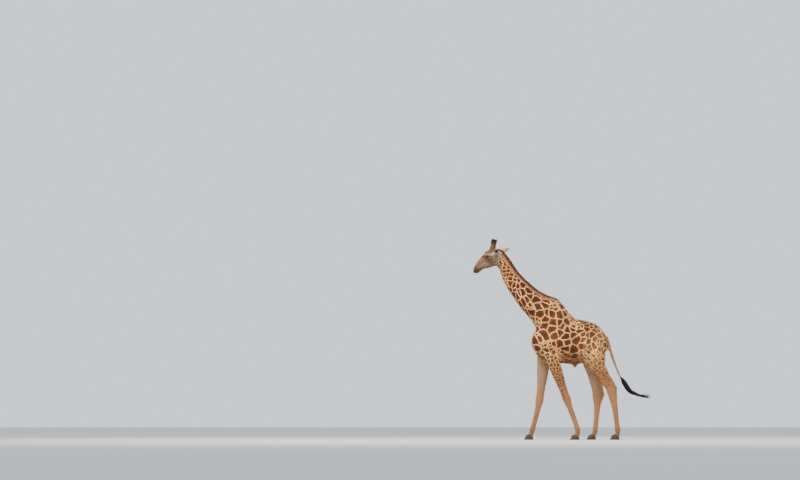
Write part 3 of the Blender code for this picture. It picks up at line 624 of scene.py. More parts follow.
def zipped(low, high, point, way):
    """Two meshes with one open ring each beside the same plane, sewn together with a band of triangles."""
    held = bpy.data.meshes.new("held")
    high.to_mesh(held)
    lower_ring = {vert for vert in low.verts if vert.is_boundary}
    low.from_mesh(held)
    bpy.data.meshes.remove(held)
    across = Vector((1, 0, 0))
    up = way.cross(across).normalized()
    rings = ([], [])
    for vert in low.verts:
        if vert.is_boundary:
            away = vert.co - point
            rings[vert not in lower_ring].append((math.atan2(away.dot(up), away.dot(across)), vert))
    rings = [sorted(ring, key=lambda pair: pair[0]) for ring in rings]
    counts = [len(ring) for ring in rings]
    i = j = 0
    while i < counts[0] or j < counts[1]:
        a = rings[0][i % counts[0]][1]
        b = rings[1][j % counts[1]][1]
        next_a = rings[0][(i + 1) % counts[0]]
        next_b = rings[1][(j + 1) % counts[1]]
        turn_a = next_a[0] + 2 * math.pi * ((i + 1) // counts[0])
        turn_b = next_b[0] + 2 * math.pi * ((j + 1) // counts[1])
        if j >= counts[1] or (i < counts[0] and turn_a <= turn_b):
            low.faces.new((a, next_a[1], b))
            i += 1
        else:
            low.faces.new((a, next_b[1], b))
            j += 1
    bmesh.ops.recalc_face_normals(low, faces=low.faces)
    return low


def refined(mesh, middles, radius):
    """Edges within the radius of any middle halved."""
    chosen = [edge for edge in mesh.edges
              if any((edge.verts[0].co - middle).length < radius for middle in middles)]
    bmesh.ops.subdivide_edges(mesh, edges=chosen, cuts=1, use_grid_fill=True)


def settled(points, normals, reach):
    """Points moved along their normals onto the CAD's own surface, where it lies within reach."""
    forms = copy_of(FLESH + ["eye_left", "eye_right"], "forms", 0.0005)
    faces = [tuple(face.vertices) for face in forms.data.polygons]
    tree = BVHTree.FromPolygons([vert.co for vert in forms.data.vertices], faces)
    bpy.data.objects.remove(forms, do_unlink=True)
    made = points.copy()
    for i, (point, way, far) in enumerate(zip(points, normals, reach)):
        found = tree.ray_cast(Vector(point + way * far), Vector(-way), 2 * far)[0]
        if found is not None:
            made[i] = found
    return made


def face_point(y, z, x=0.0):
    """A point given on the head looking straight ahead, in the frame."""
    return Vector(yaw(np.array(((x, y, z),)), HEAD_YAW)[0] + SHIFT)


def whole_skin():
    """The flesh as one mesh: the body in coarser squares, head in finer, sewn in the upper neck."""
    seam = SEAM_POINT + Vector(SHIFT)
    body_voxel = sizes().body_voxel * 1.0
    head_voxel = sizes().head_voxel * 1.0
    body = copy_of([node for node in FLESH if not node.startswith(("ear", "ossicone"))], "body_forms", 0.0005)
    apply_modifier(body, "REMESH", mode="VOXEL", voxel_size=body_voxel)
    head = copy_of(["head", "neck", "ear_left", "ear_right", "ossicone_left", "ossicone_right",
                    "eye_left", "eye_right"], "head_forms", 0.0005)
    trimmed = half_of(head, seam - SEAM_WAY * 0.12, -SEAM_WAY)
    bmesh.ops.holes_fill(trimmed, edges=[edge for edge in trimmed.edges if edge.is_boundary])
    trimmed.to_mesh(head.data)
    trimmed.free()
    apply_modifier(head, "REMESH", mode="VOXEL", voxel_size=head_voxel)
    low = half_of(body, seam - SEAM_WAY * body_voxel * 0.5, SEAM_WAY)
    high = half_of(head, seam + SEAM_WAY * body_voxel * 0.5, -SEAM_WAY)
    skin = zipped(low, high, seam, SEAM_WAY)
    high.free()
    shanks = [edge for edge in skin.edges if max(vert.co.z for vert in edge.verts) < SHANK_TOP]
    bmesh.ops.subdivide_edges(skin, edges=shanks, cuts=1, use_grid_fill=True)
    tail = [edge for edge in skin.edges
            if edge.verts[0].co.y > TAIL_FROM and edge.verts[0].co.z > SHANK_TOP]
    bmesh.ops.subdivide_edges(skin, edges=tail, cuts=1, use_grid_fill=True)
    eyes = [Vector(eye) for eye in EYES]
    lips = [face_point(-2.03, 3.625, 0.04), face_point(-2.03, 3.625, -0.04)]
    refined(skin, eyes, 0.062)
    refined(skin, lips, 0.078)
    refined(skin, eyes, 0.036)
    bmesh.ops.triangulate(skin, faces=[face for face in skin.faces if len(face.verts) > 4])
    for item in (body, head):
        bpy.data.objects.remove(item, do_unlink=True)
    data = bpy.data.meshes.new("skin")
    skin.to_mesh(data)
    skin.free()
    return added("skin", data)


def smoothing_of(where):
    """How much each point's facets are smoothed away: most on the trunk, least on thin parts."""
    body = np.interp(where.neck_run, (-0.2, 0.3, 1.2), (0.50, 0.26, 0.15))
    body = mix2(body, 0.09, ramp(where.z, 1.75, 1.45))
    body = mix2(body, 0.30, ramp(where.z, 1.00, 0.94))
    body = mix2(body, 0.20, where.tail)
    made = mix2(body, 0.9, where.head)
    made = mix2(made, 0.06, where.ear)
    return mix2(made, 0.30, where.horn)


def mix2(a, b, share):
    """The same for numbers instead of rows."""
    return a * (1 - share) + b * share


# ---------------------------------------------------------------- markings

def paint(where, lids=None):
    """Ground and blotch colours, blotch strength and the net's half-width at each point."""
    n = len(where.body)
    leg = tint("leg")
    ground = np.tile(tint("net"), (n, 1))
    blotch = np.tile(tint("blotch"), (n, 1))
    spots = np.ones(n)
    half = np.full(n, 0.052)
    hollow = np.zeros(n)
    rump = ramp(where.y, 0.30, 0.62) * ramp(where.z, 2.52, 2.30) * (1 - where.neck)
    thigh = ramp(where.y, 0.225, 0.275) * ramp(where.z, 2.30, 2.12) * ramp(where.side, 0.08, 0.14)
    rump = np.maximum(rump, thigh)
    blotch = mix(blotch, tint("blotch_rump"), rump * np.interp(where.z, (1.95, 2.25), (0.85, 0.55)))
    hollow = np.maximum(hollow, rump * np.interp(where.z, (1.95, 2.25), (0.20, 0.08)))
    half = mix2(half, 0.066, rump)
    # painted shade on the back's upward-facing top: darker blotches and a thinner net there
    top = ramp(where.normals[:, 2], 0.45, 0.85) * ramp(where.z, 2.30, 2.42) * (1 - where.neck)
    blotch = mix(blotch, tint("blotch") * 0.55, top)
    half = mix2(half, 0.020, top)
    # neck: the net widens towards the head, and the blotches are darker low down, lighter by the crest
    from_mane = near_line(where.body[:, 1:], MANE_LINE)[0]
    crest = ramp(from_mane, 0.14, 0.04) * where.neck
    half = mix2(half, 0.058, ramp(where.neck_run, 0.6, 1.3) * where.neck)
    blotch = mix(blotch, tint("blotch") * 0.78, where.neck * ramp(where.neck_run, 1.3, 0.9))
    half = mix2(half, 0.092, ramp(where.neck_run, 1.2, 1.5) * where.neck)
    blotch = mix(blotch, tint("blotch") * 1.35, crest * 0.6)
    ground = ground * (1 - 0.15 * ramp(where.neck_run, 1.0, 1.25) * (1 - where.head))[:, None]
    fringe = ramp(from_mane, 0.108, 0.080) * (1 - where.head)
    fringe *= ramp(where.y, -0.20, -0.45)
    # belly: painted shade on the downward-facing underside, darkening the ground and the blotches
    shaded_belly = ramp(where.normals[:, 2], -0.35, -0.85) * ramp(where.z, 1.95, 1.75) * (1 - where.neck)
    shaded_belly *= ramp(where.z, 1.50, 1.58)
    ground = mix(ground, tint("shaded_belly"), shaded_belly * 0.75)
    blotch = mix(blotch, tint("shaded_belly") * 0.7, shaded_belly * 0.6)
    # painted shade low on the flank, behind the elbow and before the thigh: the ground turns brown low down
    shaded_flank = ramp(where.y, -0.27, -0.17) * ramp(where.y, 0.27, 0.22) * ramp(where.z, 2.10, 1.72)
    shaded_flank *= 1 - where.neck
    shaded_flank *= ramp(where.z, 1.50, 1.58)
    ground = mix(ground, tint("shaded_flank"), shaded_flank * 0.80)
    # legs: spots shrink and fade down to a plain orange-tan
    fade_top = np.where(where.leg_hind > 0.5, 1.42, 1.30)
    upper = where.leg * ramp(where.z, 2.0, 1.65)
    ground = mix(ground, leg * 1.12, ramp(where.z, 1.95, 1.25) * where.leg)
    greyer = tint("blotch_rump") * np.array((1.10, 1.15, 1.25))
    blotch = mix(blotch, greyer, upper * (0.4 + 0.4 * where.leg_hind))
    half = mix2(half, 0.090, upper)
    mottled = (1 - where.leg_hind) * ramp(where.normals[:, 1], 0.25, -0.35) * ramp(where.x, 0.0, 0.06)
    mottled *= where.leg * ramp(where.z, 0.78, 0.92)
    blotch = mix(blotch, tint("blotch") * 1.2, mottled * ramp(where.z, 1.90, 1.50))
    low = ramp(where.z, fade_top, fade_top - 0.55) * where.leg_low * (1 - 0.75 * mottled)
    spots *= 1 - 0.92 * low
    half = half + 0.10 * low
    inside = where.leg * ramp(where.normals[:, 0] * np.sign(where.x), -0.1, -0.75) * ramp(where.z, 0.9, 1.2)
    ground = mix(ground, tint("inner"), inside * 0.85)
    spots *= 1 - 0.80 * inside
    feet = ramp(where.z, 0.32, 0.14) * where.leg
    ground = mix(ground, leg * 0.72, feet * 0.6)
    knees = ramp(np.abs(where.z - 0.86), 0.13, 0.02) * where.leg * ramp(where.normals[:, 1], 0.2, -0.7)
    ground = mix(ground, leg * 0.78, knees * 0.35)
    # tail
    ground = mix(ground, tint("tail"), where.tail * 0.85)
    spots *= 1 - 0.85 * where.tail
    # head: tan above a line from the nose's side through the eye to the ear, grey-tan below it
    fx, fy, fz = where.face.T
    flat_face = where.face[:, 1:]
    h = where.head
    ground = mix(ground, tint("face"), h)
    line_z = np.interp(fy, *zip(*FACE_LINE))
    below = h * ramp(line_z - fz, -0.010, 0.026)
    ground = mix(ground, tint("cheek"), below * 0.94)
    for line, reach, colour_there, strength in HEAD_SHADES:
        near = h * ramp(near_line(flat_face, line)[0], reach, reach * 0.25)
        ground = mix(ground, np.array(colour_there), near * strength)
    from_mouth = near_line(flat_face, MOUTH)[0]
    ground = mix(ground, tint("muzzle"), h * ramp(from_mouth, 0.026, 0.008) * 0.85)
    ground = mix(ground, tint("dark"), h * ramp(from_mouth, 0.0060, 0.0020))
    nose = near_line(flat_face, NOSTRIL)[0]
    nostril = h * ramp(nose, 0.0105, 0.0045) * ramp(np.abs(fx), 0.010, 0.020)
    ground = mix(ground, tint("dark"), nostril)
    band = h * ramp(near_line(flat_face, CHEEK_BAND)[0], 0.085, 0.04)
    spots = mix2(spots, 0.95 * band * ramp(fy, -1.50, -1.62), h * ramp(fy, -1.46, -1.54))
    blotch = mix(blotch, tint("muzzle") * 0.7, h)
    half = mix2(half, 0.17, h)
    # ossicones and ears
    horn = where.horn
    ground = mix(ground, tint("horn"), horn * ramp(fz, 4.08, 4.15))
    ground = mix(ground, tint("horn_tip"), horn * ramp(fz, 4.165, 4.215))
    spots *= 1 - horn
    ear = tint("ear")
    ground = mix(ground, ear, where.ear * 0.9)
    rim = where.ear * ramp(where.ear_run, 0.86, 1.0)
    # painted shade deep in the ear's hollow, near its root
    ear_hollow_shade = where.ear * where.ear_inner * ramp(where.ear_run, 0.60, 0.34)
    ground = mix(ground, tint("dark") * 2.2, ear_hollow_shade * 0.70)
    ground = mix(ground, ear * 0.55, rim * 0.5)
    spots *= 1 - where.ear
    back_of_ear = where.ear * (1 - where.ear_inner) * ramp(where.ear_run, 0.45, 0.80)
    ground = mix(ground, ear * 0.50, back_of_ear * 0.7)
    # painted shadow on the head's skin at the ear's opening, standing for the shade in the ear's hollow
    ear_opening_shadow = h * ramp(near_line(flat_face, EAR_SHADOW_LINE)[0], 0.034, 0.018) * ramp(np.abs(fx), 0.02, 0.05)
    ground = mix(ground, tint("dark") * 1.6, ear_opening_shadow * (1 - where.ear) * 0.92)
    fringe *= 1 - where.ear
    ground = mix(ground, tint("mane") * 2.0, fringe * 0.75)
    spots *= 1 - 0.5 * fringe
    if lids is not None:
        ground, spots = lids(ground, spots)
    return ground, blotch, np.stack((spots, half, hollow), axis=1)


# On the head looking straight ahead: the line that parts the brow's tan from the cheek's grey, as y and z
FACE_LINE = ((-2.08, 3.640), (-1.95, 3.752), (-1.84, 3.846), (-1.75, 3.890), (-1.62, 3.912), (-1.50, 3.930))
HEAD_SHADES = (  # side-view line, reach, colour, strength
    (((-1.97, 3.66), (-1.88, 3.73), (-1.78, 3.76)), 0.075, (0.265, 0.165, 0.094), 0.75),
    (((-1.60, 3.76), (-1.68, 3.72), (-1.78, 3.70)), 0.045, (0.230, 0.165, 0.110), 0.60),
    (((-1.985, 3.690), (-1.955, 3.715), (-1.852, 3.800)), 0.026, (0.150, 0.070, 0.032), 0.75),
    (((-1.740, 3.886), (-1.660, 3.902), (-1.560, 3.905)), 0.022, (0.090, 0.042, 0.022), 0.70),
    # painted highlight on the brow ridge above the eye
    (((-1.800, 3.945), (-1.740, 3.950), (-1.660, 3.935)), 0.045, (0.380, 0.190, 0.100), 0.75),
    (((-1.870, 3.895), (-1.830, 3.970), (-1.785, 4.030)), 0.048, (0.095, 0.048, 0.028), 0.80),
    # dark skin in front of the eye, deepened by a painted shadow of the brow and lashes
    (((-1.838, 3.905), (-1.780, 3.878)), 0.036, (0.050, 0.028, 0.018), 0.80),
    (((-1.740, 4.000), (-1.690, 4.090)), 0.070, (0.120, 0.060, 0.036), 0.80),
    (((-1.560, 3.900), (-1.545, 3.760)), 0.080, (0.330, 0.225, 0.135), 0.65),
    (((-1.735, 3.870), (-1.700, 3.830), (-1.700, 3.790)), 0.050, (0.085, 0.050, 0.030), 0.55),
    (((-1.635, 3.945), (-1.600, 3.960), (-1.560, 3.950)), 0.048, (0.620, 0.430, 0.270), 0.80),
    (((-1.50, 3.97), (-1.46, 3.90), (-1.46, 3.74)), 0.075, (0.560, 0.370, 0.230), 0.65),
    (((-2.11, 3.56), (-2.04, 3.61), (-2.01, 3.66)), 0.095, (0.130, 0.068, 0.042), 0.80),
    # dark lower lip with a painted shadow along the chin's underside
    (((-2.11, 3.57), (-2.04, 3.56), (-1.98, 3.575)), 0.036, (0.075, 0.046, 0.036), 0.75),
)
CHEEK_BAND = ((-1.56, 3.82), (-1.66, 3.80), (-1.74, 3.83))
# a painted shadow on the head's skin at the ear's open side, standing for the shade in the ear's hollow
EAR_SHADOW_LINE = ((-1.537, 4.030), (-1.532, 3.980))
MANE_LINE = ((-1.545, 4.066), (-1.424, 4.024), (-1.255, 3.823), (-1.072, 3.551), (-0.852, 3.334),
             (-0.641, 3.154), (-0.375, 3.024), (-0.225, 2.960))

# Marks round the eye, as distances forward and up from its middle
# a painted highlight on the brow ridge above the eye
BROW_HIGHLIGHT = ((-0.035, 0.030), (0.0, 0.036), (0.040, 0.024))
BELOW_EYE = ((-0.02, -0.030), (0.03, -0.026))
# a painted shadow of the lashes and brow, running forward from the eye
LASH_SHADOW = ((0.024, 0.001), (0.048, -0.003))
EYE_CORNER = ((-0.026, 0.0), (-0.044, 0.008))


def eye_paint(points):
    """Dark lids, a painted shadow of the lashes running forward, and a pale orange painted highlight on the
    brow above.
    """
    def finish(ground, spots):
        for eye in EYE_FRAMES:
            u, v, w = eye.local(points).T
            near = ramp(w, -0.03, -0.01)
            edge = outside_opening(u, v)

            def stroke(line, reach, full):
                return near * ramp(near_line(np.stack((u, v), 1), line)[0], reach, full)

            # painted highlight: the face's tan made paler on the brow ridge
            ground = mix(ground, tint("face") * 1.45, stroke(BROW_HIGHLIGHT, 0.022, 0.006) * 0.7)
            ground = mix(ground, tint("cheek"), stroke(BELOW_EYE, 0.020, 0.004) * 0.5)
            ground = mix(ground, tint("dark"), near * ramp(edge, 0.0085, 0.0030))
            # painted shadow of the lashes and brow on the skin in front of the eye
            ground = mix(ground, tint("dark") * 1.5, stroke(LASH_SHADOW, 0.0075, 0.002) * 0.9)
            ground = mix(ground, tint("dark") * 2, stroke(EYE_CORNER, 0.006, 0.002) * 0.7)
            spots = spots * (1 - near * ramp(edge, 0.030, 0.018))
        return ground, spots
    return finish


# The eyes' frames, filled by main, and what the skin leaves for the pieces that lie on it
EYE_FRAMES = []
SKIN = {}


def write_marks(mesh, pattern, painted, shade=None):
    """The markings as attributes that the coat's material reads."""
    ground, blotch, marks = painted
    opaque = np.ones((len(ground), 1))
    keep(mesh, "ground", np.hstack((ground, opaque)))
    keep(mesh, "blotch", np.hstack((blotch, opaque)))
    keep(mesh, "pattern", pattern)
    keep(mesh, "marks", marks)
    keep(mesh, "shade", opaque[:, 0] if shade is None else shade)


# ---------------------------------------------------------------- materials

class Looks:
    """One material's nodes, added and linked in order."""

    def __init__(self, name, roughness, **sockets):
        self.material = bpy.data.materials.new(name)
        self.material.use_nodes = True
        self.tree = self.material.node_tree
        self.shader = self.tree.nodes["Principled BSDF"]
        self.fill(self.shader, Roughness=roughness, **sockets)

    def put(self, socket, value):
        """A number, a colour or another node's output given to a socket."""
        if isinstance(value, bpy.types.NodeSocket):
            self.tree.links.new(value, socket)
        elif socket.type == "RGBA":
            socket.default_value = (*value, 1.0)
        else:
            socket.default_value = value

    def fill(self, node, **settings):
        """A node's own settings and its sockets by name, with _ for each space."""
        for key, value in settings.items():
            if hasattr(node, key):
                setattr(node, key, value)
            else:
                self.put(node.inputs[key.replace("_", " ")], value)
        return node

    def add(self, kind, **settings):
        return self.fill(self.tree.nodes.new("ShaderNode" + kind), **settings)

    def attribute(self, name, output="Color"):
        return self.add("Attribute", attribute_name=name).outputs[output]

    def maths(self, operation, *values, kind="Math"):
        node = self.add(kind, operation=operation)
        for socket, value in zip(node.inputs, values):
            self.put(socket, value)
        return node.outputs[0]

    def stretch(self, value, low, high, to_low=0.0, to_high=1.0, smooth=True):
        return self.add("MapRange", interpolation_type="SMOOTHSTEP" if smooth else "LINEAR", Value=value,
                        From_Min=low, From_Max=high, To_Min=to_low, To_Max=to_high).outputs[0]

    def blend(self, share, first, second, kind="MIX"):
        node = self.add("Mix", data_type="RGBA", blend_type=kind)
        for place_in, value in ((0, share), (6, first), (7, second)):
            self.put(node.inputs[place_in], value)
        return node.outputs[2]

    def shaded(self, base, value):
        """A colour made lighter or darker by a value."""
        grey = self.add("CombineColor", Red=value, Green=value, Blue=value)
        return self.blend(1.0, base, grey.outputs[0], "MULTIPLY")

    def noise(self, scale, vector=None, detail=2.0, roughness=0.5, output="Fac"):
        if vector is None:
            vector = self.add("TexCoord").outputs["Object"]
        return self.add("TexNoise", Scale=scale, Detail=detail, Roughness=roughness,
                        Vector=vector).outputs[output]

    def bump(self, height, distance, strength):
        bump = self.add("Bump", Distance=distance, Strength=strength, Height=height)
        self.put(self.shader.inputs["Normal"], bump.outputs[0])

    def colour(self, value):
        self.put(self.shader.inputs["Base Color"], value)


def coat_look(name, roughness, bump):
    """Blotches on a pale net, laid out by the pattern attribute and coloured by region."""
    looks = Looks(name, roughness, Sheen_Weight=0.03, Sheen_Roughness=0.45, Specular_IOR_Level=0.16)
    pattern = looks.attribute("pattern", "Vector")
    spots, half, hollow = looks.add("SeparateXYZ", Vector=looks.attribute("marks", "Vector")).outputs
    warp = pattern
    for scale, strength in ((0.85, 0.62), (2.6, 0.20), (7.0, 0.06)):
        wave = looks.noise(scale, pattern, 1.0, output="Color")
        wave = looks.maths("SUBTRACT", wave, (0.5, 0.5, 0.5), kind="VectorMath")
        wave = looks.maths("MULTIPLY", wave, (strength,) * 3, kind="VectorMath")
        warp = looks.maths("ADD", wave, warp, kind="VectorMath")
    edge, near, split = (
        looks.add("TexVoronoi", feature=feature, voronoi_dimensions="2D",
                  Vector=warp, Scale=scale, Randomness=0.86)
        for feature, scale in (("DISTANCE_TO_EDGE", 1.0), ("F1", 1.0), ("DISTANCE_TO_EDGE", 1.55)))
    chance = looks.add("SeparateColor", Color=near.outputs["Color"]).outputs
    away = near.outputs["Distance"]
    # some blotches are split again, and all have rounded corners
    whole = looks.stretch(chance[1], 0.20, 0.14)
    parted = looks.maths("ADD", looks.maths("MULTIPLY", split.outputs["Distance"], 0.75),
                         looks.maths("SUBTRACT", 1.0, whole))
    round_off = looks.maths("MULTIPLY", looks.maths("SUBTRACT", 0.95, away), 0.62)
    inset = looks.maths("SMOOTH_MIN", edge.outputs["Distance"], round_off, 0.12)
    inset = looks.maths("SMOOTH_MIN", inset, parted, 0.05)
    mask = looks.stretch(looks.maths("SUBTRACT", inset, half), -0.012, 0.035)
    strength = looks.maths("MULTIPLY", mask, spots)
    tone = looks.maths("MULTIPLY", looks.stretch(chance[0], 0.0, 1.0, 0.72, 1.22, smooth=False),
                       looks.stretch(away, 0.10, 0.50, 0.80, 1.12))
    hollow = looks.maths("MULTIPLY", looks.stretch(away, 0.32, 0.12), hollow)
    ground = looks.attribute("ground")
    patch = looks.blend(hollow, looks.shaded(looks.attribute("blotch"), tone), ground)
    broad = looks.stretch(looks.noise(2.2, None, 3.0), 0.3, 0.7, 0.90, 1.10)
    fine = looks.stretch(looks.noise(170.0, None, 2.0, 0.65), 0.3, 0.7, 0.84, 1.14)
    shade = looks.maths("MULTIPLY", looks.maths("MULTIPLY", broad, fine), looks.attribute("shade", "Fac"))
    looks.colour(looks.shaded(looks.blend(strength, ground, patch), shade))
    if bump:
        hair = looks.maths("MULTIPLY", looks.noise(420.0, None, 2.0, 0.6), 0.35)
        looks.bump(looks.maths("ADD", hair, looks.noise(38.0, None, 3.0, 0.55)), 0.0022, 0.55)
    return looks.material


def set_look(item, material, smooth=True):
    item.data.materials.clear()
    item.data.materials.append(material)
    if smooth:
        item.data.shade_smooth()


# ---------------------------------------------------------------- pieces

# Rounds of smoothing: the CAD's facets, their leftover, the pattern's directions, the seam, the hair's lie
FORM_ROUNDS, DETAIL_ROUNDS, WRAP_ROUNDS, SEAM_ROUNDS, LIE_ROUNDS = 44, 30, 10, 8, 12


class GIRAFFE_OT_skin(bpy.types.Operator):
    """One skin over the whole body, with muscle, folds and lids, inside the coat's tips"""

    bl_idname = "giraffe.skin"
    bl_label = "Skin"

    def execute(self, context):
        item = whole_skin()
        mesh = item.data
        pairs = edges_of(mesh)
        points = read(mesh)
        normals = read(mesh, "normal")
        where = Places(points, normals)
        points = settled(points, normals, np.where(where.head > 0.5, 0.004, 0.011))
        rounded = smoothed(points, pairs, smoothing_of(where), FORM_ROUNDS)
        points = rounded + smoothed(points - rounded, pairs, np.ones(len(points)), DETAIL_ROUNDS)
        place(mesh, points)
        normals = read(mesh, "normal")
        wrap = smoothed(normals, pairs, np.ones(len(normals)), WRAP_ROUNDS)
        where = Places(points, normals)
        thin = np.maximum(where.ear, where.tail * 0.6)
        inset = sizes().coat_depth * (1 - 0.75 * thin) * (1 - 0.4 * where.head)
        points = points + normals * (relief(where) + head_relief(where) - inset)[:, None]
        seam = ramp(np.abs((plain(points) - np.array(SEAM_POINT)) @ np.array(SEAM_WAY)), 0.035, 0.015)
        points = smoothed(points, pairs, seam, SEAM_ROUNDS)
        for eye in EYE_FRAMES:
            shape_lids(points, eye, sizes().eye_radius)
        place(mesh, points)
        normals = read(mesh, "normal")
        where = Places(points, normals)
        where.pattern = where.pattern_places(wrap)
        lie = smoothed(where.lie, pairs, np.ones(len(points)), LIE_ROUNDS)
        painted = paint(where, eye_paint(points))
        write_marks(mesh, where.pattern, painted)
        SKIN.update(item=item, where=where, normals=normals, lie=lie, painted=painted)
        set_look(item, coat_look("coat_skin", 0.72, True))
        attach(item, "root")
        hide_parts(*FLESH)
        return {"FINISHED"}


class GIRAFFE_OT_eyes(bpy.types.Operator):
    """Two dark wet eyeballs with brown irises and level pupils"""

    bl_idname = "giraffe.eyes"
    bl_label = "Eyes"

    def execute(self, context):
        looks = eye_look()
        for name, eye in zip(("left", "right"), EYE_FRAMES):
            deselect()
            bpy.ops.mesh.primitive_uv_sphere_add(segments=64, ring_count=40, radius=1.0)
            ball = context.object
            ball.name = ball.data.name = f"eyeball_{name}"
            turn = Matrix((eye.fore, eye.up, eye.out)).transposed()
            local = read(ball.data)
            swell = 1.0 + 0.055 * ramp(local[:, 2], 0.72, 1.0)
            keep(ball.data, "iris_place", local)
            place(ball.data, eye.world(local * swell[:, None] * sizes().eye_radius))
            if turn.determinant() < 0:
                ball.data.flip_normals()
            set_look(ball, looks)
            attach(ball, "root")
            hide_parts(f"eye_{name}")
        return {"FINISHED"}


EYE_WHITE = (0.060, 0.035, 0.026)
PUPIL = (0.002, 0.002, 0.003)


def eye_look():
    """Dark brown iris with a level pupil, under a wet surface."""
    looks = Looks("eye_wet", 0.06, Coat_Weight=0.35, Specular_IOR_Level=0.30, Coat_Roughness=0.02)
    spot = looks.attribute("iris_place", "Vector")
    u, v, _ = looks.add("SeparateXYZ", Vector=spot).outputs
    across, upright = looks.maths("MULTIPLY", u, u), looks.maths("MULTIPLY", v, v)
    ring = looks.maths("SQRT", looks.maths("ADD", across, upright))
    pupil = looks.maths("SQRT", looks.maths("ADD", looks.maths("MULTIPLY", across, 0.30), upright))
    iris = tint("iris")
    fibres = looks.stretch(looks.noise(26.0, spot, 3.0), 0.35, 0.65)
    ball = looks.blend(fibres, iris, iris * 2.2)
    ball = looks.blend(looks.stretch(ring, 0.50, 0.62), ball, iris * 0.3)
    ball = looks.blend(looks.stretch(ring, 0.70, 0.80), ball, EYE_WHITE)
    looks.colour(looks.blend(looks.stretch(pupil, 0.23, 0.19), ball, PUPIL))
    return looks.material


CLAW_VOXEL, CLAW_ROUNDS, GROWTH_RINGS = 0.0040, 9, 5.5


class GIRAFFE_OT_hooves(bpy.types.Operator):
    """Eight hoof claws with growth rings and worn edges"""

    bl_idname = "giraffe.hooves"
    bl_label = "Hooves"

    def execute(self, context):
        looks = hoof_look()
        for foot in ("fore_left", "fore_right", "hind_left", "hind_right"):
            for claw in ("outer", "inner"):
                node = f"hoof_{foot}_{claw}"
                item = copy_of([node], f"{node}_horn", 0.0)
                apply_modifier(item, "REMESH", mode="VOXEL", voxel_size=CLAW_VOXEL)
                points = read(item.data)
                pairs = edges_of(item.data)
                points = smoothed(points, pairs, np.ones(len(points)), CLAW_ROUNDS)
                place(item.data, points)
                normals = read(item.data, "normal")
                share = points[:, 2] / points[:, 2].max()
                rings = 0.0010 * np.sin(share * 2 * math.pi * GROWTH_RINGS) * ramp(share, 0.10, 0.25)
                rings += 0.0018 * ramp(share, 0.90, 1.0)
                points = points + normals * (rings + 0.0006)[:, None]
                low = points[:, 2] < 0.010
                points[low, 2] = points[low, 2] * ramp(points[low, 2], 0.004, 0.010)
                points[:, 2] = np.maximum(points[:, 2], 0.0)
                place(item.data, points)
                keep(item.data, "height", share)
                set_look(item, looks)
                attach(item, "root")
                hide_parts(node)
        return {"FINISHED"}


def hoof_look():
    """Streaked dark horn, worn pale at the edge, with a little dust."""
    looks = Looks("hoof_horn", 0.55, Specular_IOR_Level=0.25)
    height = looks.attribute("height", "Fac")
    drawn_out = looks.add("Mapping", Vector=looks.add("TexCoord").outputs["Object"], Scale=(1.0, 1.0, 0.12))
    streaks = looks.noise(260.0, drawn_out.outputs[0], 3.0)
    base = looks.blend(looks.stretch(streaks, 0.3, 0.7), tint("hoof") * 0.65, tint("hoof") * 1.5)
    worn = looks.blend(looks.stretch(height, 0.18, 0.0), base, tint("hoof_worn"))
    dust = looks.stretch(looks.noise(14.0, None, 4.0), 0.45, 0.75, 0.0, 0.28)
    looks.colour(looks.blend(dust, worn, tint("dust")))
    looks.bump(streaks, 0.0008, 0.6)
    return looks.material


# ---------------------------------------------------------------- hair

class Roots:
    """Random roots on the skin, with what the skin's points know carried over to them."""

    def __init__(self, count, density, seed):
        mesh = SKIN["item"].data
        mesh.calc_loop_triangles()
        corners = np.empty(len(mesh.loop_triangles) * 3, dtype=np.int32)
        mesh.loop_triangles.foreach_get("vertices", corners)
        corners = corners.reshape(-1, 3)
        points = read(mesh)
        a, b, c = (points[corners[:, k]] for k in range(3))
        area = np.linalg.norm(np.cross(b - a, c - a), axis=1) / 2
        steps = np.cumsum(area * density[corners].mean(axis=1))
        count = int(count * (1.0))
        self.random = np.random.default_rng(seed)
        self.count = count
        spots = (np.arange(count) + self.random.random(count)) / count * steps[-1]
        self.corners = corners[np.minimum(np.searchsorted(steps, spots), len(corners) - 1)]
        r1, r2 = np.sqrt(self.random.random(count)), self.random.random(count)
        self.weights = np.stack((1 - r1, r1 * (1 - r2), r1 * r2), axis=1)
        self.points = self.at(points)
        self.facing = unit(self.at(SKIN["normals"]))
        lie = self.at(SKIN["lie"])
        self.lie = unit(lie - self.facing * np.sum(lie * self.facing, axis=1, keepdims=True))

    def at(self, values):
        if values.ndim == 1:
            return np.einsum("nk,nk->n", self.weights, values[self.corners])
        return np.einsum("nk,nkd->nd", self.weights, values[self.corners])

    def spread(self, width):
        """The lie turned a little to either side, by chance and in loose swirls."""
        across = np.cross(self.facing, self.lie)
        swirl = np.sin(self.points @ np.array((31.0, 17.0, 23.0))) * 0.4
        turn = self.random.normal(0, width, self.count) + swirl * width
        return unit(self.lie + across * turn[:, None])

    def vary(self, low, high):
        return self.random.uniform(low, high, self.count)


def blades(roots, ways, facing, length, width, rise, sink):
    """Thin closed tufts: a root edge, a raised spine and a tip each, as points and triangles."""
    across = unit(np.cross(ways, facing))
    half = across * (width / 2)[:, None]
    foot = roots - facing * sink[:, None]
    spine = roots + ways * (length * 0.35)[:, None] + facing * (rise * 0.75 + 0.0010)[:, None]
    tip = roots + ways * length[:, None] + facing * rise[:, None]
    points = np.stack((foot - half, foot + half, spine, tip), axis=1).reshape(-1, 3)
    first = np.arange(len(roots))[:, None] * 4
    faces = (first[:, :, None] + np.array(((0, 1, 2), (1, 3, 2), (3, 0, 2), (0, 3, 1)))[None]).reshape(-1, 3)
    return points, faces


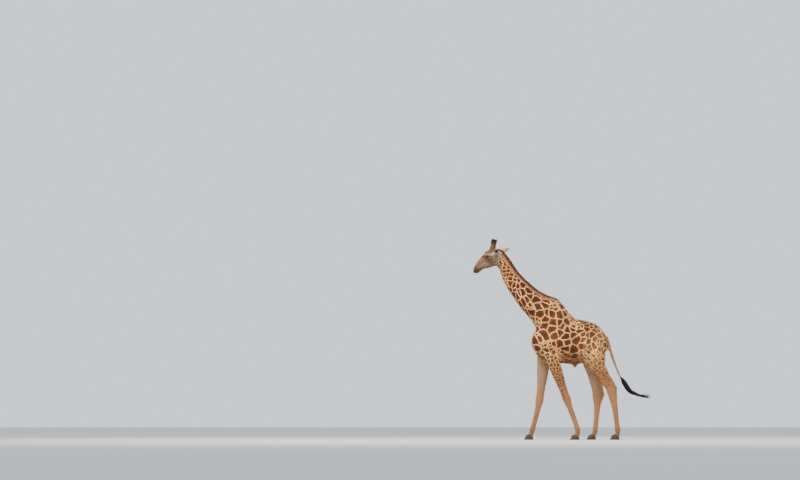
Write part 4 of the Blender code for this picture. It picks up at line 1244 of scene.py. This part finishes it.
def locks(paths, radii, sides):
    """Closed tapering locks along paths (lock, step, xyz): three-cornered rings that end in a point."""
    count, steps = paths.shape[:2]
    along = unit(np.gradient(paths, axis=1))
    across = unit(sides - along * np.sum(sides * along, axis=2, keepdims=True))
    out = np.cross(along, across)
    rings = []
    for c, o in ((-1.0, -0.35), (1.0, -0.35), (0.0, 0.75)):
        rings.append(paths + across * (c * radii)[..., None] + out * (o * radii)[..., None])
    body = np.stack(rings, axis=2)[:, :-1].reshape(count, -1, 3)
    points = np.concatenate((body, paths[:, -1:]), axis=1)
    faces = [(0, 2, 1)]
    for i in range(steps - 2):
        for k in range(3):
            a, b = i * 3 + k, i * 3 + (k + 1) % 3
            faces += [(a, b, b + 3), (a, b + 3, a + 3)]
    last = (steps - 2) * 3
    faces += [(last, last + 1, last + 3), (last + 1, last + 2, last + 3), (last + 2, last, last + 3)]
    per = last + 4
    first = np.arange(count)[:, None, None] * per
    return points.reshape(-1, 3), (first + np.array(faces)[None]).reshape(-1, 3), per


def mesh_from(name, points, faces):
    data = bpy.data.meshes.new(name)
    data.vertices.add(len(points))
    data.vertices.foreach_set("co", points.astype(np.float32).ravel())
    data.loops.add(faces.size)
    data.loops.foreach_set("vertex_index", faces.astype(np.int32).ravel())
    data.polygons.add(len(faces))
    data.polygons.foreach_set("loop_start", np.arange(0, faces.size, faces.shape[1], dtype=np.int32))
    data.update(calc_edges=True)
    return added(name, data)


def bake_map(mesh, root_uv, per_tuft):
    """The OFBake map: each tuft a patch 0.003 across at its root's place on the unwrapped skin."""
    layer = mesh.uv_layers.new(name="OFBake")
    corner = np.empty(len(mesh.loops), dtype=np.int32)
    mesh.loops.foreach_get("vertex_index", corner)
    tuft, place_in = corner // per_tuft, corner % per_tuft
    angle = 2 * math.pi * place_in / per_tuft + 0.4
    spread = np.stack((np.cos(angle), np.sin(angle)), axis=1) * 0.0015
    uv = np.clip(root_uv[tuft] + spread, 0.0, 1.0)
    layer.uv.foreach_set("vector", uv.astype(np.float32).ravel())


def squeeze(u, v):
    """Map places kept a little inside the map's edges."""
    return np.clip(np.stack((u, v), axis=1), 0.0, 1.0) * 0.98 + 0.01


def unwrap(part, points):
    """Places on the skin unrolled: round the part one way and along it the other."""
    body = plain(points)
    if part == "head":
        face = straight(body)
        along = (face - np.array((0.0, -2.10, 3.56))) @ unit(np.array((0.0, 0.84, 0.54)))
        middle = np.array((0.0, -2.02, 3.62)) + along[:, None] * unit(np.array((0.0, 0.80, 0.42)))
        off = face - middle
        return squeeze(np.arctan2(off[:, 0], off[:, 2] + 0.02) / (2 * math.pi) + 0.5, along / 0.95)
    if part == "neck":
        run = (body - NECK_FOOT) @ NECK_WAY
        angle = np.arctan2(body[:, 0], body[:, 1] + 0.95 + (body[:, 2] - 3.25) * 0.84)
        return squeeze(angle / (2 * math.pi) + 0.5, (run + 0.3) / 2.1)
    if part == "trunk":
        angle = np.arctan2(body[:, 0], body[:, 2] - 2.12)
        return squeeze(angle / (2 * math.pi) + 0.5, (body[:, 1] + 0.85) / 2.0)
    which = np.zeros(len(body))
    middle = np.zeros((len(body), 2))
    best = np.full(len(body), 1e9)
    for number, (side, joints) in enumerate(LEGS.values()):
        line = np.array(joints)
        depth = np.interp(body[:, 2], line[::-1, 1], line[::-1, 0])
        away = np.hypot(body[:, 0] - side * LEG_OUT, body[:, 1] - depth)
        closer = away < best
        best, which = np.where(closer, away, best), np.where(closer, number, which)
        middle[closer] = np.stack((np.full_like(depth, side * LEG_OUT), depth), axis=1)[closer]
    angle = np.arctan2(body[:, 0] - middle[:, 0], body[:, 1] - middle[:, 1]) / (2 * math.pi) + 0.5
    return squeeze((which + 0.06 + 0.88 * angle) / 4, body[:, 2] / 2.1)


def finish_hair(item, look, normals, root_uv, per_tuft, nodes):
    """Soft shading, the bake map, and the piece's place in the frame."""
    set_look(item, look)
    item.data.normals_split_custom_set_from_vertices([tuple(n) for n in normals])
    bake_map(item.data, root_uv, per_tuft)
    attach(item, "root")
    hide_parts(*nodes)


def coat_piece(part, density, look, length_of):
    """Short flat tufts over one part of the skin, in the skin's own colours and along the hair's lie."""
    share, rise, seed, nodes = COATS[part]
    roots = Roots(sizes().coat_tufts * share, density, seed)
    length = sizes().hair_length * length_of(roots) * roots.vary(0.75, 1.2)
    width = length * roots.vary(0.17, 0.27)
    ways = roots.spread(0.17)
    height = length * rise * roots.vary(0.6, 1.3)
    points, faces = blades(roots.points, ways, roots.facing, length, width, height, 0.0015 + length * 0.02)
    item = mesh_from(f"coat_{part}", points, faces)
    across = np.cross(ways, roots.facing)
    lean = roots.facing + across * roots.random.normal(0, 0.22, roots.count)[:, None] - ways * 0.10
    normals = np.repeat(unit(lean), 4, axis=0)
    painted = [np.repeat(roots.at(values), 4, axis=0) for values in SKIN["painted"]]
    pattern = np.repeat(roots.at(SKIN["where"].pattern), 4, axis=0)
    tone = np.clip(roots.random.normal(1.0, 0.13, roots.count), 0.65, 1.4)
    shade = (tone[:, None] * np.array((0.86, 0.86, 1.0, 1.14))).ravel()
    write_marks(item.data, pattern, painted, shade)
    finish_hair(item, look, normals, unwrap(part, roots.points), 4, nodes)


def hair_look(name, root, tip, roughness=0.6, from_run=(0.45, 0.95)):
    """Hair that turns from its root's colour to its tip's, each lock a little different."""
    looks = Looks(name, roughness, Sheen_Weight=0.02, Specular_IOR_Level=0.22)
    base = looks.blend(looks.stretch(looks.attribute("run", "Fac"), *from_run), root, tip)
    strand = looks.stretch(looks.noise(140.0), 0.3, 0.7, 0.75, 1.25)
    looks.colour(looks.shaded(base, looks.maths("MULTIPLY", strand, looks.attribute("shade", "Fac"))))
    return looks.material


def hair_piece(name, paths, radii, sides, look, normals, root_uv, nodes, seed):
    """Locks as one piece, with how far each point is along its lock and a tone for each lock."""
    points, faces, per = locks(paths, radii, sides)
    item = mesh_from(name, points, faces)
    count, steps = paths.shape[:2]
    run = np.concatenate((np.repeat(np.arange(steps - 1) / (steps - 1), 3), (1.0,)))
    tones = np.clip(np.random.default_rng(seed).normal(1.0, 0.22, count), 0.5, 1.6)
    keep(item.data, "run", np.tile(run, count))
    keep(item.data, "shade", np.repeat(tones, per))
    bent = read(item.data, "normal")
    made = unit(bent * 0.55 + np.repeat(normals, per, axis=0))
    finish_hair(item, look, made, root_uv, per, nodes)


COATS = {  # share of the tufts, rise for each tuft's length, seed, nodes replaced
    "trunk": (0.32, 0.09, 11, ("trunk", "tail")),
    "neck": (0.29, 0.09, 12, ("neck",)),
    "legs": (0.32, 0.07, 13, [node for node in FLESH if node.startswith(("foreleg", "hindleg"))]),
    "head": (0.30, 0.08, 14, ("head", "ear_left", "ear_right", "ossicone_left", "ossicone_right")),
}


class GIRAFFE_OT_coat(bpy.types.Operator):
    """Short flat hair in thin tufts over the trunk, neck, legs and head"""

    bl_idname = "giraffe.coat"
    bl_label = "Coat"

    def execute(self, context):
        where = SKIN["where"]
        look = coat_look("coat_hair", 0.68, False)
        head = where.head > 0.5
        neck = (where.neck_run > 0.05) & (where.z > 1.8) & ~head
        legs = ~head & ~neck & (where.z < 1.60) & (where.tail < 0.5)
        trunk = ~head & ~neck & ~legs
        face_density = head * self.open_skin(where) * (1 + 0.8 * ramp(where.face[:, 1], -1.85, -2.05))
        neck_lengths = ((0.0, 1.6), (0.95, 0.62))
        leg_lengths = ((0.07, 0.12, 0.20, 1.6), (0.85, 0.62, 0.40, 0.70))
        coat_piece("trunk", trunk * 1.0, look, lambda roots: 1 - 0.52 * roots.at(where.tail))
        coat_piece("neck", neck * 1.0, look, lambda roots: np.interp(roots.at(where.neck_run), *neck_lengths))
        coat_piece("legs", legs * (1 + 1.4 * ramp(where.z, 0.9, 0.1)), look,
                   lambda roots: np.interp(roots.at(where.z), *leg_lengths))
        coat_piece("head", face_density, look, lambda roots: head_hair(roots, where))
        return {"FINISHED"}

    def open_skin(self, where):
        """Where hair can grow: none on the lids, in the mouth line and nostrils, or in the ears' hollows."""
        bare = np.ones(len(where.body))
        for eye in EYE_FRAMES:
            local = eye.local(read(SKIN["item"].data))
            near = ramp(np.hypot(local[:, 0] / 1.3, local[:, 1]), 0.024, 0.016)
            bare *= 1 - near * ramp(local[:, 2], -0.03, 0.0)
        for line, full, clear in ((MOUTH, 0.004, 0.009), (NOSTRIL, 0.009, 0.014)):
            away = near_line(where.face[:, 1:], line)[0]
            bare *= 1 - where.head * (1 - ramp(away, full, clear))
        return bare * (1 - where.ear * where.ear_inner)


def head_hair(roots, where):
    """Hair on the head as a share of the trunk's: shortest on the muzzle, longer on the ears."""
    short = np.interp(roots.at(where.face[:, 1]), (-2.08, -1.95, -1.75, -1.50), (0.16, 0.26, 0.38, 0.55))
    short = mix2(short, 0.55, roots.at(where.ear))
    return mix2(short, 0.45, roots.at(where.horn))


# The mane's top edge as y, z and height, and below it the tuft's middle line as y, z and radius
CREST = ((-1.545, 4.066, 0.026), (-1.486, 4.062, 0.046), (-1.424, 4.024, 0.062), (-1.346, 3.941, 0.067),
         (-1.255, 3.823, 0.068), (-1.170, 3.687, 0.066), (-1.072, 3.551, 0.064), (-0.965, 3.433, 0.062),
         (-0.852, 3.334, 0.062), (-0.745, 3.241, 0.060), (-0.638, 3.158, 0.056), (-0.497, 3.084, 0.050),
         (-0.372, 3.036, 0.042), (-0.290, 3.010, 0.034), (-0.222, 2.964, 0.014))
TUFT_LINE = ((1.058, 1.350, 0.020), (1.076, 1.318, 0.027), (1.118, 1.262, 0.046), (1.156, 1.195, 0.058),
             (1.206, 1.105, 0.048), (1.300, 1.008, 0.040), (1.407, 0.955, 0.034), (1.513, 0.936, 0.031),
             (1.620, 0.915, 0.036), (1.690, 0.925, 0.028), (1.726, 0.945, 0.016))
CREST_HALF = 0.020
TAIL_STEPS, TAIL_WISPS = 16, 22
OSSICONE_HAIRS, EAR_HAIRS, CHIN_HAIRS = 3600, 3600, 260
LASH_ROWS = ((True, 95, 0.027, -0.20), (False, 45, 0.011, -0.5))  # upper lid, number, length, droop


def follow(spots, reach, rows):
    """The rows' numbers at spots between them, reach being each row's own spot."""
    return np.stack([np.interp(spots, reach, column) for column in rows.T], axis=-1)


def shafts(feet, ways, longs, shares):
    """Points along straight locks at the given shares of each one's length."""
    return feet[:, None] + ways[:, None] * (longs[:, None] * shares)[..., None]


def fine_line(rows, steps):
    """Rows of numbers followed smoothly, spaced evenly by the first two."""
    rows = np.array(rows)
    reach = np.concatenate(((0.0,), np.cumsum(np.linalg.norm(np.diff(rows[:, :2], axis=0), axis=1))))
    line = follow(np.linspace(0, reach[-1], steps), reach, rows)
    for _ in range(6):
        line[1:-1] = line[1:-1] * 0.5 + (line[:-2] + line[2:]) * 0.25
    return line


class GIRAFFE_OT_mane(bpy.types.Operator):
    """Stiff upright mane in short locks from the poll to the withers"""

    bl_idname = "giraffe.mane"
    bl_label = "Mane"

    def execute(self, context):
        line = fine_line(CREST, 200)
        places_on = np.arange(len(line))
        generator = np.random.default_rng(21)
        count = sizes().mane_locks
        share = generator.random(count)
        spot = share * (len(line) - 1)
        row = follow(spot, places_on, line)
        way = unit(follow(spot, places_on, np.gradient(line[:, :2], axis=0)))
        zero = np.zeros(count)
        along = np.stack((zero, way[:, 0], way[:, 1]), axis=1)
        up = np.cross(np.array((1.0, 0.0, 0.0)), along)
        up *= np.sign(up[:, 2:3])
        height = row[:, 2] * sizes().mane_height / MANE_HEIGHT
        aside = generator.uniform(-1, 1, count)
        foot = np.stack((zero, row[:, 0], row[:, 1]), axis=1) - up * (row[:, 2] + 0.010)[:, None]
        foot[:, 0] += aside * CREST_HALF
        long = (height * generator.uniform(0.82, 1.08, count) + 0.010) * (1 - 0.10 * aside ** 2)
        lean = along * generator.normal(0.20, 0.10, count)[:, None]
        lean[:, 0] += aside * 0.10 + generator.normal(0, 0.07, count)
        bend = along * (0.10 * long)[:, None]
        t = np.array((0.0, 0.55, 1.0))
        paths = shafts(foot, unit(up + lean), long, t) + bend[:, None] * (t ** 2)[None, :, None]
        radii = np.array((0.0022, 0.0026, 0.0))[None] * generator.uniform(0.7, 1.2, count)[:, None]
        # the mane's top end turns with the head
        turn = np.clip((POLL[1] + 0.10 - row[:, 0]) / 0.15, 0, 1) * HEAD_YAW
        c, s = np.cos(turn)[:, None], np.sin(turn)[:, None]
        x, y, z = np.moveaxis(paths - POLL, 2, 0)
        paths = np.stack((x * c - y * s, x * s + y * c, z), axis=2) + POLL + SHIFT
        sides = np.tile(along[:, None], (1, 3, 1))
        normals = unit(up * 0.5 + np.stack((aside * 1.2, zero, zero), axis=1))
        look = hair_look("mane_hair", tint("mane"), tint("mane_tip"), from_run=(0.55, 1.0))
        uv = squeeze(0.5 + aside * 0.05, share)
        hair_piece("mane_locks", paths, radii, sides, look, normals, uv, ("mane",), 22)
        return {"FINISHED"}


class GIRAFFE_OT_tail_tuft(bpy.types.Operator):
    """Long black hairs that swing out from the tail's end"""

    bl_idname = "giraffe.tail_tuft"
    bl_label = "Tail tuft"

    def execute(self, context):
        line = fine_line(TUFT_LINE, 120)
        places_on = np.arange(len(line))
        generator = np.random.default_rng(31)
        count = sizes().tail_locks
        group = generator.integers(0, TAIL_WISPS, count)
        start = generator.uniform(0, 0.26, count)
        reach = np.clip(1.02 - generator.exponential(0.13, TAIL_WISPS), 0.62, 1.0)
        end = np.clip(reach[group] - generator.exponential(0.06, count), 0.35, 1.0)
        share = np.linspace(0, 1, TAIL_STEPS)[None]
        t = start[:, None] + (end - start)[:, None] * share
        spot = t * (len(line) - 1)
        y, z, radius = np.moveaxis(follow(spot, places_on, line), 2, 0)
        dy, dz = np.moveaxis(follow(spot, places_on, unit(np.gradient(line[:, :2], axis=0))), 2, 0)
        angle = generator.uniform(0, 2 * math.pi, TAIL_WISPS)[group][:, None]
        out = (np.sqrt(generator.random(TAIL_WISPS)) * 0.72)[group][:, None]
        phase, pace = (generator.uniform(low, high, (2, TAIL_WISPS))[:, group, None]
                       for low, high in ((0, 6.3), (9, 17)))
        wave = 0.34 * np.sin(phase + pace * t) * ramp(t, 0.15, 0.45)
        loose = np.clip(generator.normal(0, 0.18, (2, count, 1)), -0.32, 0.32) * (1.15 - share ** 2)
        grow = np.minimum(1.0, 0.55 + (t - start[:, None]) * 6) * radius
        aside = (np.cos(angle) * out + wave[0] + loose[0]) * grow
        rise = (np.sin(angle) * out + wave[1] + loose[1]) * grow
        rise += 0.020 * np.sign(np.sin(angle)) * ramp(t, 0.80, 1.0)
        paths = np.stack((aside, y - dz * rise, z + dy * rise), axis=2)
        radii = 0.0024 * generator.uniform(0.6, 1.15, (count, 1)) * np.clip(1.15 - share, 0, 1) ** 0.6
        radii[:, -1] = 0
        sides = np.tile(np.array((1.0, 0.0, 0.0)), (count, TAIL_STEPS, 1))
        axis = np.stack((np.zeros(count), y.mean(axis=1), z.mean(axis=1)), axis=1)
        normals = unit(paths.mean(axis=1) - axis + (0, 0, 0.006))
        look = hair_look("tail_hair", tint("tuft"), tint("tuft") * 3.2, 0.45, (0.55, 1.0))
        uv = squeeze(0.5 + 0.2 * np.cos(angle[:, 0]), start)
        paths += SHIFT
        hair_piece("tail_tuft_locks", paths, radii, sides, look, normals, uv, ("tail_tuft",), 32)
        return {"FINISHED"}


class GIRAFFE_OT_fine_hair(bpy.types.Operator):
    """Dark hair round the ossicones' ends, pale hair in the ears, lashes and chin hairs"""

    bl_idname = "giraffe.fine_hair"
    bl_label = "Fine hair"

    def execute(self, context):
        where = SKIN["where"]
        # ossicones
        roots = Roots(OSSICONE_HAIRS, where.horn * ramp(where.face[:, 2], 4.150, 4.190), 41)
        ways = self.strewn(roots, roots.facing * 0.55 + np.array((0, 0, 1.0)), 0.14)
        tall = roots.vary(0.010, 0.019) * np.interp(roots.points[:, 2], (4.15, 4.25), (0.8, 1.0))
        tops = ramp(roots.facing[:, 2], 0.90, 0.98)
        look = hair_look("ossicone_hair", tint("horn_tip"), tint("horn_tip") * 1.6)
        self.bristles("ossicone_hair", roots, ways, tall * (1 - 0.45 * tops), 0.0011, look,
                      ("ossicone_left", "ossicone_right"), "horn", 42)
        # ears
        roots = Roots(EAR_HAIRS, where.ear * where.ear_inner * ramp(where.ear_run, 1.0, 0.85), 43)
        aim = unit(roots.at(turned(where.ear_way)))
        ways = self.strewn(roots, aim * 0.9 + roots.facing * 0.18, 0.14)
        look = hair_look("ear_hair", tint("ear") * 0.60, tint("ear") * 1.05)
        self.bristles("ear_hair", roots, ways, roots.vary(0.010, 0.020), 0.0007, look,
                      ("ear_left", "ear_right"), "coat", 44)
        # chin and lips
        chin = where.head * ramp(where.face[:, 1], -1.94, -2.00) * ramp(where.face_normals[:, 2], 0.1, -0.5)
        roots = Roots(CHIN_HAIRS, chin, 45)
        ways = self.strewn(roots, roots.facing + roots.lie * 0.5, 0.2)
        look = hair_look("chin_hair", tint("muzzle") * 0.6, tint("muzzle"))
        self.bristles("chin_hair", roots, ways, roots.vary(0.008, 0.020), 0.0005, look, ("head",), "coat", 46)
        self.lashes()
        return {"FINISHED"}

    def strewn(self, roots, ways, scatter):
        """Directions with a little chance in each."""
        return unit(ways + roots.random.normal(0, scatter, (roots.count, 3)))

    def bristles(self, name, roots, ways, tall, radius, look, nodes, slot_name, seed):
        """Short straight hairs, thickest a little above the skin."""
        paths = shafts(roots.points - roots.facing * 0.001, ways, tall, np.array((0.0, 0.55, 1.0)))
        radii = radius * np.array((0.9, 1.0, 0.0))[None] * roots.vary(0.7, 1.25)[:, None]
        sides = np.tile(unit(np.cross(ways, roots.facing + (0.01, 0.02, 0.0)))[:, None], (1, 3, 1))
        hair_piece(name, paths, radii, sides, look, roots.facing, unwrap("head", roots.points), nodes,
                   seed)

    def lashes(self):
        """Rows of lashes that curve up from both lids."""
        generator = np.random.default_rng(51)
        starts, ways, longs = [], [], []
        radius = sizes().eye_radius
        for eye in EYE_FRAMES:
            for top, count, long, droop in LASH_ROWS:
                u = np.sort(generator.uniform(-0.92, 0.99, count)) * EYE_HALF
                v = opening_height(u, top)
                w = np.sqrt(np.maximum((radius + 0.0035) ** 2 - u * u - v * v, 0))
                starts.append(eye.world(np.stack((u, v, w), axis=1)))
                way = np.stack((u / EYE_HALF * 0.65 + 0.18, np.full(count, droop), np.ones(count)), axis=1)
                way = unit(way + generator.normal(0, 0.10, way.shape))
                ways.append(way[:, :1] * eye.fore + way[:, 1:2] * eye.up + way[:, 2:] * eye.out)
                longs.append(long * generator.uniform(0.7, 1.1, count))
        starts, ways, longs = np.concatenate(starts), np.concatenate(ways), np.concatenate(longs)
        t = np.array((0.0, 0.35, 0.7, 1.0))
        lift = np.tile(np.array((0.0, 0.0, 1.0)), (len(starts), 1))
        paths = shafts(starts, ways, longs, t) + lift[:, None] * (longs[:, None] * 0.25 * t ** 2)[..., None]
        radii = np.tile(np.array((0.0007, 0.0006, 0.0004, 0.0)), (len(starts), 1))
        sides = np.tile(np.cross(ways, lift)[:, None], (1, 4, 1))
        look = hair_look("lash_hair", tint("dark") * 0.6, tint("dark"), 0.4)
        hair_piece("lashes", paths, radii, sides, look, ways, unwrap("head", starts), ("head",), 52)


FLOOR_RADIUS = 400.0
SKY, SKY_STRENGTH = (0.84, 0.88, 0.94, 1.0), 1.26
LIGHTS = {  # place, width, power, colour
    "key": ((9.0, -5.0, 13.0), 7.0, 2500.0, (1.0, 0.94, 0.86)),
    "fill": ((10.0, 8.0, 7.0), 8.0, 200.0, (1.0, 1.0, 1.0)),
    "rim": ((-9.0, 3.0, 11.0), 7.0, 800.0, (1.0, 1.0, 1.0)),
    "front": ((-5.0, -11.0, 6.0), 8.0, 250.0, (1.0, 1.0, 1.0)),
}
LIT = Vector((0.0, 0.0, 2.0))
# The camera's distance and height, and its view's middle as y and z and width at the midline
CAMERA_AWAY, CAMERA_HEIGHT, VIEW_MIDDLE, VIEW_WIDTH = 55.0, 0.30, (-3.455, 4.25), 800 / 47.0
SENSOR = 36.0


def stage_floor():
    """A plain pale floor, wide enough to reach the horizon."""
    deselect()
    bpy.ops.mesh.primitive_circle_add(vertices=96, radius=FLOOR_RADIUS, fill_type="NGON", location=(0, 0, 0))
    floor = bpy.context.object
    floor.name = floor.data.name = "floor"
    looks = Looks("floor_pale", 0.8, Base_Color=tint("floor"), Specular_IOR_Level=0.1)
    set_look(floor, looks.material, False)


def facing(name, data, spot, target):
    """A light or camera at a spot, turned towards a target."""
    item = added(name, data)
    item.location = spot
    item.rotation_euler = (target - Vector(spot)).to_track_quat("-Z", "Y").to_euler()
    return item


class GIRAFFE_OT_stage(bpy.types.Operator):
    """Pale floor, soft studio lights and the camera"""

    bl_idname = "giraffe.stage"
    bl_label = "Stage"

    def execute(self, context):
        stage_floor()
        world = context.scene.world = bpy.data.worlds.new("studio")
        world.use_nodes = True
        sky = world.node_tree.nodes["Background"].inputs
        sky[0].default_value, sky[1].default_value = SKY, SKY_STRENGTH
        for name, (spot, width, power, glow) in LIGHTS.items():
            lamp = bpy.data.lights.new(name, "AREA")
            lamp.shape, lamp.size, lamp.energy, lamp.color = "DISK", width, power, glow
            facing(name, lamp, spot, LIT)
        lens = bpy.data.cameras.new("camera")
        lens.sensor_width = SENSOR
        lens.lens = SENSOR * CAMERA_AWAY / VIEW_WIDTH
        lens.clip_end = 2.5 * FLOOR_RADIUS
        middle = Vector((0.0, *VIEW_MIDDLE))
        context.scene.camera = facing("camera", lens, (CAMERA_AWAY, middle.y, CAMERA_HEIGHT), middle)
        return {"FINISHED"}


class GIRAFFE_PT_pieces(bpy.types.Panel):
    """Lists the giraffe's pieces in the sidebar"""

    bl_label = "Giraffe"
    bl_idname = "GIRAFFE_PT_pieces"
    bl_space_type = "VIEW_3D"
    bl_region_type = "UI"
    bl_category = "Giraffe"

    def draw(self, context):
        for operator in PIECES:
            self.layout.operator(operator.bl_idname)


PIECES = (GIRAFFE_OT_skin, GIRAFFE_OT_coat, GIRAFFE_OT_mane, GIRAFFE_OT_tail_tuft, GIRAFFE_OT_fine_hair,
          GIRAFFE_OT_eyes, GIRAFFE_OT_hooves, GIRAFFE_OT_stage)
CLASSES = (GiraffeSizes, GiraffeColours, *PIECES, GIRAFFE_PT_pieces)


def register():
    for made in CLASSES:
        bpy.utils.register_class(made)
    bpy.types.Scene.giraffe_sizes = bpy.props.PointerProperty(type=GiraffeSizes)
    bpy.types.Scene.giraffe_colours = bpy.props.PointerProperty(type=GiraffeColours)


def unregister():
    del bpy.types.Scene.giraffe_colours
    del bpy.types.Scene.giraffe_sizes
    for made in reversed(CLASSES):
        bpy.utils.unregister_class(made)


def main():
    register()
    EYE_FRAMES.extend((Eye(EYES[0], 1), Eye(EYES[1], -1)))
    bpy.ops.giraffe.skin()
    bpy.ops.giraffe.coat()
    bpy.ops.giraffe.mane()
    bpy.ops.giraffe.tail_tuft()
    bpy.ops.giraffe.fine_hair()
    bpy.ops.giraffe.eyes()
    bpy.ops.giraffe.hooves()
    bpy.ops.giraffe.stage()


if __name__ == "__main__":
    main()
